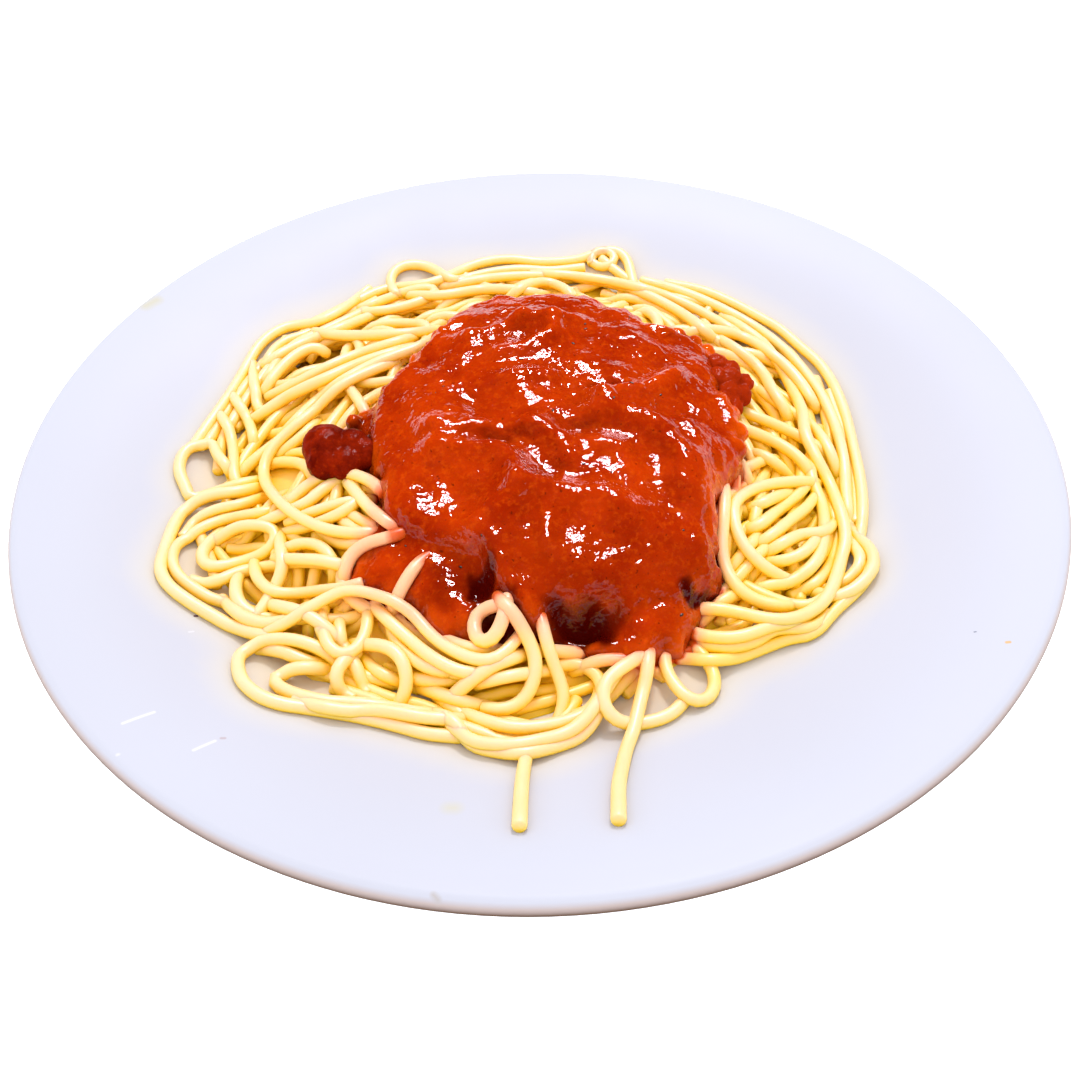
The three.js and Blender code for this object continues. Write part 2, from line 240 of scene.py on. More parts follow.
# plate
plate = {
    "radius": 125.0, "height": 22.5, "wellRadius": 72.0, "wellLevel": 7.0, "lipRadius": 121.5,
    "rimRise": 14.6, "wall": 4.4, "lipRound": 2.3, "footInner": 63.0, "footOuter": 71.0,
    "footDepth": 2.6, "footRound": 0.9, "lipEase": 0.8, "lipEaseFrom": 110.0, "sides": 192,
    "under": (78.0, 117.0, 10), "rim": (119.6, 66.0, 26),    # first and last radius, and steps
    "well": (44.0, 20.0, 2.0),
}
# lip and underLipShade are painted shade and a painted reflection of a brown table on the lip's outside
glaze = {
    "white": (0.478, 0.487, 0.572), "brighter": (0.496, 0.507, 0.595), "starchyAndPaintedLight": (0.64, 0.58, 0.48),
    "lip": (0.43, 0.355, 0.345), "lipShadeFrom": 118.5, "lipShadeFull": 121.0, "underLipShade": (0.085, 0.045, 0.025),
}
plateMarks = [    # colour, half width, softness, and the ends, seen from above
    ((0.62, 0.62, 0.68), 0.50, 0.7, (-82.9, -83.1), (-77.9, -79.6)),
    ((0.62, 0.62, 0.68), 0.50, 0.7, (-68.2, -89.0), (-64.9, -86.1)),
    ((0.58, 0.58, 0.64), 0.50, 0.7, (-81.9, -91.0), (-81.7, -90.9)),
    ((0.58, 0.58, 0.64), 0.35, 0.5, (-77.4, -53.6), (-76.7, -53.2)),
    ((0.09, 0.03, 0.05), 0.36, 0.3, (-77.5, -48.0), (-77.1, -47.9)),
    ((0.26, 0.22, 0.26), 0.25, 0.4, (-66.8, -62.1), (-66.8, -61.5)),
    ((0.43, 0.37, 0.42), 0.45, 0.6, (-63.9, -85.2), (-63.3, -85.1)),
    ((0.58, 0.38, 0.20), 0.45, 0.5, (94.5, -70.2), (95.1, -70.2)),
    ((0.22, 0.23, 0.31), 0.22, 0.4, (89.5, -66.0), (89.8, -66.0)),
    ((0.50, 0.49, 0.45), 2.30, 1.0, (-18.6, -101.6), (-17.6, -101.6)),
    ((0.49, 0.47, 0.40), 2.60, 1.0, (-108.0, 57.0), (-105.5, 60.0)),
    ((0.42, 0.39, 0.40), 0.90, 1.0, (-20.3, -121.6), (-19.5, -122.4)),
]


def plateTop(r):
    share = np.clip((r - plate["wellRadius"]) / (plate["lipRadius"] - plate["wellRadius"]), 0, 1)
    return plate["wellLevel"] + plate["rimRise"] * share * share * (3 - 2 * share)


def plateProfile():    # from the middle of the underside, round the lip, to the middle of the well
    inner, outer, depth, curl = (plate[k] for k in ("footInner", "footOuter", "footDepth", "footRound"))
    line = [(plate["well"][-1], depth), (inner - 3, depth), (inner - 1.2, depth - 0.4)]
    line += [(inner - 0.4, curl), (inner + 0.5 * curl, 0.15), (inner + 1.6, 0.0), (outer - 1.6, 0.0)]
    line += [(outer - 0.5 * curl, 0.15), (outer + 0.4, curl), (outer + 1.2, depth - 0.5)]
    line.append((outer + 2.6, depth + 0.1))
    for r in np.linspace(*plate["under"]):
        line.append((r, float(plateTop(r)) - plate["wall"]))
    middle = plate["radius"] - plate["lipRound"]
    for angle in range(-60, 101, 16):
        turn = math.radians(angle)
        line.append((middle + plate["lipRound"] * math.cos(turn),
                     plate["height"] - plate["lipRound"] * (1 - math.sin(turn))))
    for r in np.linspace(*plate["rim"]):
        ease = max(0, (r - plate["lipEaseFrom"]) / (plate["radius"] - plate["lipEaseFrom"]))
        line.append((r, float(plateTop(r)) + plate["lipEase"] * ease * ease))
    return line + [(r, plate["wellLevel"]) for r in plate["well"]]


def makePlate():
    line = plateProfile()
    startClean()
    radius, level = line[0]
    bpy.ops.mesh.primitive_circle_add(vertices=plate["sides"], radius=radius * mm, fill_type="NGON",
                                      location=(0, 0, level * mm))
    dish = bpy.context.object
    settle(dish)
    startEdit()
    for nextRadius, nextLevel in line[1:]:
        bpy.ops.mesh.extrude_region_move(
            TRANSFORM_OT_translate={"value": (0, 0, (nextLevel - level) * mm)})
        bpy.ops.transform.resize(value=(nextRadius / radius, nextRadius / radius, 1))
        radius, level = nextRadius, nextLevel
    endEdit()
    faceOutwards(dish)
    dish.name = "plate_glazed"
    return dish


def markShare(tree, flat, width, soft, start, end):    # 1 on a short stroke of the glaze, 0 off it
    first, last = Vector((*start, 0)) * mm, Vector((*end, 0)) * mm
    heading = (last - first).normalized()
    offset = addNode(tree, "VectorMath", {1: first}, operation="SUBTRACT")
    wire(tree, flat, offset.inputs[0])
    along = addNode(tree, "VectorMath", {1: heading}, operation="DOT_PRODUCT")
    wire(tree, offset.outputs[0], along.inputs[0])
    held = calculate(tree, "MINIMUM", along.outputs["Value"], (last - first).length)
    held = calculate(tree, "MAXIMUM", held, 0.0)
    nearest = addNode(tree, "VectorMath", {0: heading}, operation="SCALE")
    wire(tree, held, nearest.inputs["Scale"])
    gap = addNode(tree, "VectorMath", operation="DISTANCE")
    wire(tree, offset.outputs[0], gap.inputs[0])
    wire(tree, nearest.outputs[0], gap.inputs[1])
    return remap(tree, gap.outputs["Value"], width * mm, width * (1 - soft) * mm)


def porcelain():
    material, tree, shader = newMaterial("porcelain glaze")
    spots = objectSpots(tree)
    cloudy = remap(tree, noiseAt(tree, spots, 9.0, 2.0), 0.3, 0.7)
    white = blendColours(tree, cloudy, glaze["white"], glaze["brighter"])
    # partly a starchy film, partly painted light that lifts the shade under and round the heap
    starchyAndPaintedLight = blendColours(tree, attributeAt(tree, "starchAndPaintedLight"), white, glaze["starchyAndPaintedLight"])
    place = splitVector(tree, spots)
    flat = addNode(tree, "CombineXYZ")
    wire(tree, place["X"], flat.inputs["X"])
    wire(tree, place["Y"], flat.inputs["Y"])
    reach = addNode(tree, "VectorMath", operation="LENGTH")
    wire(tree, flat.outputs[0], reach.inputs[0])
    # painted shade and a painted brown table reflection: the lip's outside turns beige as it turns from
    # the top, and dark brown where it faces down
    lip = remap(tree, reach.outputs["Value"], glaze["lipShadeFrom"] * mm, glaze["lipShadeFull"] * mm)
    facing = facingUp(tree)
    lipShadeShare = calculate(tree, "MULTIPLY", lip, remap(tree, facing, 0.90, 0.55))
    lipShaded = blendColours(tree, lipShadeShare, starchyAndPaintedLight, glaze["lip"])
    below = calculate(tree, "MULTIPLY", lip, remap(tree, facing, 0.55, -0.05))
    body = blendColours(tree, below, lipShaded, glaze["underLipShade"])
    for colour, *stroke in plateMarks:
        body = blendColours(tree, markShare(tree, flat.outputs[0], *stroke), body, colour)
    wire(tree, body, shader.inputs["Base Color"])
    varyRoughness(tree, shader, noiseAt(tree, spots, 55.0, 4.0), 0.35, 0.34, 0.42)
    shader.inputs["Specular IOR Level"].default_value = 0.015
    shader.inputs["IOR"].default_value = 1.5
    addBump(tree, shader, noiseAt(tree, spots, 30.0, 1.0), 0.04, 0.0006)
    return material


dish = makePlate()
clothe(dish, porcelain(), "plate")
print("plate ready")


# height map that everything on the plate is laid on
heap = {"x": -5.0, "y": 0.0, "radius": 87.0, "edgeRise": 2.0, "rise": 17.0, "fullness": 0.8}
mapGrid = {"reach": 128.0, "cell": 0.5}
mapAxis = np.arange(-mapGrid["reach"], mapGrid["reach"] + mapGrid["cell"] / 2, mapGrid["cell"])
mapX, mapY = np.meshgrid(mapAxis, mapAxis)
mapWidth = len(mapAxis)


def heapTop(x, y):
    q = np.hypot(x - heap["x"], y - heap["y"]) / heap["radius"]
    mound = heap["rise"] * np.maximum(0, 1 - q * q) ** heap["fullness"]
    return np.maximum(plate["wellLevel"] + heap["edgeRise"] + mound,
                      plateTop(np.hypot(x, y)) + heap["edgeRise"])


def mapCell(v):
    return np.clip(np.round((v + mapGrid["reach"]) / mapGrid["cell"]).astype(int), 0, mapWidth - 1)


def mapValue(grid, x, y):
    return grid[mapCell(y), mapCell(x)]


def evenOut(values, rounds):    # draws each value towards its two neighbours
    for _ in range(rounds):
        values[1:-1] = 0.5 * values[1:-1] + 0.25 * (values[:-2] + values[2:])
    return values


def smoothCurve(points, spacing, closed=False, ease=2):    # rounded line with evenly spaced points
    line = np.array(points, float)
    if closed:
        line = np.vstack([line[-1:], line, line[:2]])
    else:
        line = np.vstack([2 * line[0] - line[1], line, 2 * line[-1] - line[-2]])
    knots = np.concatenate([[0], np.cumsum(np.sqrt(np.linalg.norm(np.diff(line, axis=0), axis=1)))])
    pieces = []
    for i in range(1, len(line) - 2):
        t = np.linspace(knots[i], knots[i + 1], 24, endpoint=False)[:, None]
        a, b, c, d = line[i - 1:i + 3]
        ta, tb, tc, td = knots[i - 1:i + 3]
        ab = (a * (tb - t) + b * (t - ta)) / (tb - ta)
        bc = (b * (tc - t) + c * (t - tb)) / (tc - tb)
        cd = (c * (td - t) + d * (t - tc)) / (td - tc)
        abc = (ab * (tc - t) + bc * (t - ta)) / (tc - ta)
        bcd = (bc * (td - t) + cd * (t - tb)) / (td - tb)
        pieces.append((abc * (tc - t) + bcd * (t - tb)) / (tc - tb))
    dense = np.vstack(pieces + [line[-2:-1]])
    along = np.concatenate([[0], np.cumsum(np.linalg.norm(np.diff(dense, axis=0), axis=1))])
    count = max(3, int(round(along[-1] / spacing)) + 1)
    steps = np.linspace(0, along[-1], count)
    even = np.stack([np.interp(steps, along, dense[:, k]) for k in range(dense.shape[1])], 1)
    return evenOut(even, ease)


def smoothOutline(points):
    return smoothCurve(points, 1.0, closed=True)[:-1]


def insideDistance(outline):    # how far each cell is inside a closed outline, negative outside
    inside = np.zeros(mapX.shape, bool)
    nearest = np.full(mapX.shape, np.inf)
    for (ax, ay), (bx, by) in zip(outline, np.roll(outline, -1, axis=0)):
        crosses = (ay > mapY) != (by > mapY)
        edge = ax + (bx - ax) * (mapY - ay) / (by - ay if by != ay else 1e-9)
        inside ^= crosses & (mapX < edge)
        nearest = np.minimum(nearest, (mapX - ax) ** 2 + (mapY - ay) ** 2)
    return np.where(inside, 1, -1) * np.sqrt(nearest)


def waves(x, y, length, seed):    # soft seeded unevenness, about -1 to 1
    rng = np.random.default_rng(seed)
    total = np.zeros(np.shape(x))
    for _ in range(7):
        turn, phase = rng.uniform(0, 2 * math.pi, 2)
        pace = 2 * math.pi / (length * rng.uniform(0.75, 1.35))
        total += np.sin(pace * (x * math.cos(turn) + y * math.sin(turn)) + phase)
    return total / 3.2


# sauce outline and top, also needed to lay the noodles
sauce = {
    "edge": 1.0, "dome": 8.8, "domeX": 4.0, "domeY": 0.0, "domeHalfWidth": 52.0, "domeHalfDepth": 70.0,
    "brow": 3.2, "apron": 0.08, "trim": 0.6, "swell": 0.8, "ripple": 0.35, "ridgeLift": 1.7,
    "round": 4.5, "taper": 3.5, "taperReach": 3, "dip": 2.2, "film": 0.6, "filmFrom": 1.5, "cover": 4.0,
    "lowestFoot": 6.0, "footRounds": 60, "footDip": 0.4, "lip": 1.6, "skirt": 5.0, "wavyEdge": 0.8,
    "cell": 0.8, "voxel": 0.55, "lumps": (4.5, 0.75), "pulp": (1.5, 0.35),
}
sauceOutline = smoothOutline([    # clockwise from the far side, seen from above
    (-7, 54), (-2, 51.5), (5, 52), (13, 54), (20, 49), (27, 45), (34, 34), (41, 36), (47, 28), (50, 24),
    (47, 12), (50, 2), (49, -14), (43, -23), (40, -38), (40.1, -43.9), (39, -48.2), (36.6, -50.2),
    (34.2, -52.4), (34.2, -55), (33.2, -58), (31, -61), (28.5, -62.5), (26, -62.9), (23.7, -64.5),
    (20.5, -66), (17.5, -66.3), (14.5, -65.3), (10.4, -63.3), (8, -61.8), (4.7, -61.9), (1, -61.7),
    (-4.9, -62), (-9.1, -62.2), (-13, -61.6), (-16, -60.3), (-21.3, -60.2), (-24.9, -57.7),
    (-30.2, -52.5), (-33.6, -50), (-40, -47.3), (-43, -43.5), (-42.2, -38.5), (-39, -34), (-37, -28),
    (-37.5, -20), (-40.5, -13), (-43.5, -7), (-46, -1), (-48, 3.5), (-45, 8), (-40, 12), (-35, 18),
    (-30, 26), (-26, 34), (-19, 47),
])
sauceDepth = insideDistance(sauceOutline)
domeOutline = smoothOutline([    # the thick upper part, which ends in a brow above the lobes in front
    (-7, 55), (13, 55), (27, 46), (34, 36), (48, 30), (52, 10), (51, -14), (44, -24), (41.5, -40),
    (38, -49), (34, -53), (29, -54), (25, -53.8), (21, -55.2), (17.5, -56.8), (15, -54), (11.8, -54.5),
    (8.7, -56.5), (5.2, -55), (2.2, -56.5), (0.5, -60.5), (-3, -61.5), (-6, -58), (-9, -54),
    (-11.5, -48), (-13.5, -44), (-17, -42.5), (-21, -41), (-26, -38.5), (-31, -35), (-37, -30),
    (-40, -18), (-40, 0), (-38, 14), (-30, 30), (-20, 48),
])
domeDepth = insideDistance(domeOutline)

sauceFoot = heapTop(mapX, mapY) - sauce["dip"]    # where its edge ends, lowered onto the noodles later
sauceRidges = [    # height, half width, points along the crest
    (2.0, 3.2, [(-24, -18), (-17, -20), (-9, -21), (-5.5, -26), (-5, -33), (-7, -38)]),
    (1.8, 3.6, [(-5, -33), (1, -32), (8, -34), (14, -35), (20, -38)]),
    (2.4, 3.8, [(14, -8), (22, -10), (29, -14), (33, -20), (34, -28)]),
    (2.0, 3.6, [(17, -3), (24, -1), (30, 3), (34, 7)]),
    (1.6, 3.2, [(-2, -13), (4, -16), (7, -23)]),
    (1.0, 2.6, [(1, -32), (2, -40), (1.5, -46)]),
    (1.6, 3.0, [(-1, 31), (5, 30), (11, 31)]),
    (1.3, 2.6, [(5, 29), (5, 21)]),
    (1.5, 3.0, [(-15, 24), (-9, 27), (-5, 30)]),
    (1.3, 3.0, [(-8, 15), (-3, 17), (1, 20)]),
    (1.3, 3.0, [(-8, 4), (-2, 5), (4, 6)]),
    (1.2, 2.0, [(11, 2), (15, -4)]),
    (1.6, 3.4, [(-24, -11), (-18, -13), (-13, -12)]),
    (1.0, 2.4, [(14, -18), (19, -19)]),
    (1.2, 2.6, [(36, -10), (38, -16), (38, -24)]),
    (1.2, 3.0, [(-28, 29), (-24, 31)]),
    (1.0, 2.2, [(-15, -40), (-11, -36)]),
    (1.6, 3.4, [(-12, -44), (-8, -52), (-3, -59)]),
    (1.5, 2.2, [(34, 32), (36, 31)]),
    (1.7, 2.2, [(40.5, 34.5), (42, 33.5)]),
    (1.6, 2.0, [(46, 28.5), (47.5, 27)]),
    (1.5, 2.4, [(48, 4), (48, -2)]),
]
sauceHollows = [    # depth, half width, half depth, middle
    (8.5, 8.0, 4.0, (8.5, -58.2)), (3.5, 3.5, 3.0, (-13.5, -50.5)), (3.0, 4.0, 2.0, (33, -53)),
    (5.0, 4.0, 4.5, (-9.5, -58.5)), (2.0, 9.0, 2.0, (-7, -15.5)), (1.6, 5.0, 1.6, (11, -12.5)),
    (1.8, 7.0, 1.8, (16, 1.5)), (1.6, 6.0, 2.5, (-20, 30)), (2.2, 5.0, 3.0, (33, -50)),
    (1.4, 4.0, 6.0, (44, -2)),
]


def crest(x, y, points, width):
    line = smoothCurve(points, 1.0) if len(points) > 2 else np.linspace(*np.array(points, float), 12)
    near = np.full(np.shape(x), np.inf)
    for px, py in line:
        near = np.minimum(near, (x - px) ** 2 + (y - py) ** 2)
    return np.exp(-near / (width * width))


def sauceTop(x, y, depth):
    q = np.hypot((x - sauce["domeX"]) / sauce["domeHalfWidth"],
                 (y - sauce["domeY"]) / sauce["domeHalfDepth"])
    inDome = mapValue(domeDepth, x, y)
    brow = np.sqrt(1 - (1 - np.clip(inDome / sauce["brow"], 0, 1)) ** 2)
    share = np.maximum(0, 1 - q ** 4) * (sauce["apron"] + (1 - sauce["apron"]) * brow)
    thick = sauce["edge"] + (sauce["dome"] - sauce["edge"]) * share
    thick = thick - sauce["trim"] + sauce["swell"] * waves(x, y, 19, 3) * (0.3 + 0.7 * share)
    thick = thick + sauce["ripple"] * waves(x, y, 8, 4)
    for height, width, points in sauceRidges:
        thick = thick + sauce["ridgeLift"] * height * crest(x, y, points, width)
    for sink, halfWidth, halfDepth, (mx, my) in sauceHollows:
        thick = thick - sink * np.exp(-((x - mx) / halfWidth) ** 2 - ((y - my) / halfDepth) ** 2)
    taper = sauce["taper"] * np.clip(-inDome / sauce["taperReach"], 0, 1)
    rise = np.clip(depth / (sauce["round"] + taper), 0, 1)
    foot = mapValue(sauceFoot, x, y)
    return foot + (heapTop(x, y) + thick - foot) * np.sqrt(1 - (1 - rise) ** 2)


# noodles
noodle = {
    "radius": 1.48, "uneven": 0.03, "sink": 0.5, "station": 0.75, "sag": 0.042, "settle": 300,
    "blend": 22, "give": 1.2, "underSides": 9, "underStep": 2.4, "overSides": 12, "overStep": 1.6,
    "tuck": 9.0, "capShare": 0.85, "capLength": 0.3, "press": 0.55, "pressFrom": -0.5, "leanRounds": 3,
    "ends": ((0.0, 4.5, 9.0), (0.0, 4.5, 9.0)), "endBlend": 4, "ease": 8, "topSink": 0.9, "lowest": 0.97,
    "clearance": 1.2, "fewest": 10, "coatPast": 2, "coatFade": 5, "swellPace": 0.21,
}
heapEdge = smoothOutline([    # clockwise from the left, seen from above
    (-88, 5), (-85, 18), (-81, 33), (-77, 49), (-69, 60), (-57, 68), (-45, 77), (-41, 84), (-30, 86),
    (-15, 88.5), (3, 88.5), (20, 91), (28, 88), (31, 82), (41, 76), (50, 72), (64, 59), (74, 45),
    (80, 29), (80.5, 18), (80, 0), (78, -16), (76.5, -34), (74, -43), (64, -51), (53.7, -58.5),
    (41, -64.5), (34, -73), (28, -75.5), (17, -79), (11, -78), (4, -84), (-5, -87), (-14, -84.7),
    (-24, -80.5), (-38, -76), (-48, -75), (-59, -72), (-65, -64), (-66, -56), (-71, -50), (-80, -44.5),
    (-87, -36), (-87, -24), (-86, -12), (-89, -2),
])
heapDepth = insideDistance(heapEdge)
plateX, plateY, _ = readPoints(dish).T
# partly a starchy film, partly painted light: the glaze is lighter and creamier from 9 mm outside the
# heap's edge to 6 mm inside, lifting the shade there and standing in for yellow bounce light
addAttribute(dish, "starchAndPaintedLight", np.clip((mapValue(heapDepth, plateX, plateY) + 9) / 15, 0, 1))

clearings = [    # middle, half sizes and turn of the places where the plate shows through
    (-83.5, -1.5, 3.6, 7.5, 18), (-82.5, -31, 3.2, 3.4, 0), (-71.5, -42, 4.0, 2.6, -30),
    (-60.5, -63, 3.2, 5.0, 15), (-52, -66.5, 5.5, 1.6, -8), (29.5, -69.5, 3.0, 3.2, 0),
    (19.5, -74.5, 5.5, 3.2, 8), (-35.5, 80, 4.5, 3.5, 0), (57, -50, 2.8, 1.6, 20),
    (71, -38, 2.0, 4.5, -18),
]

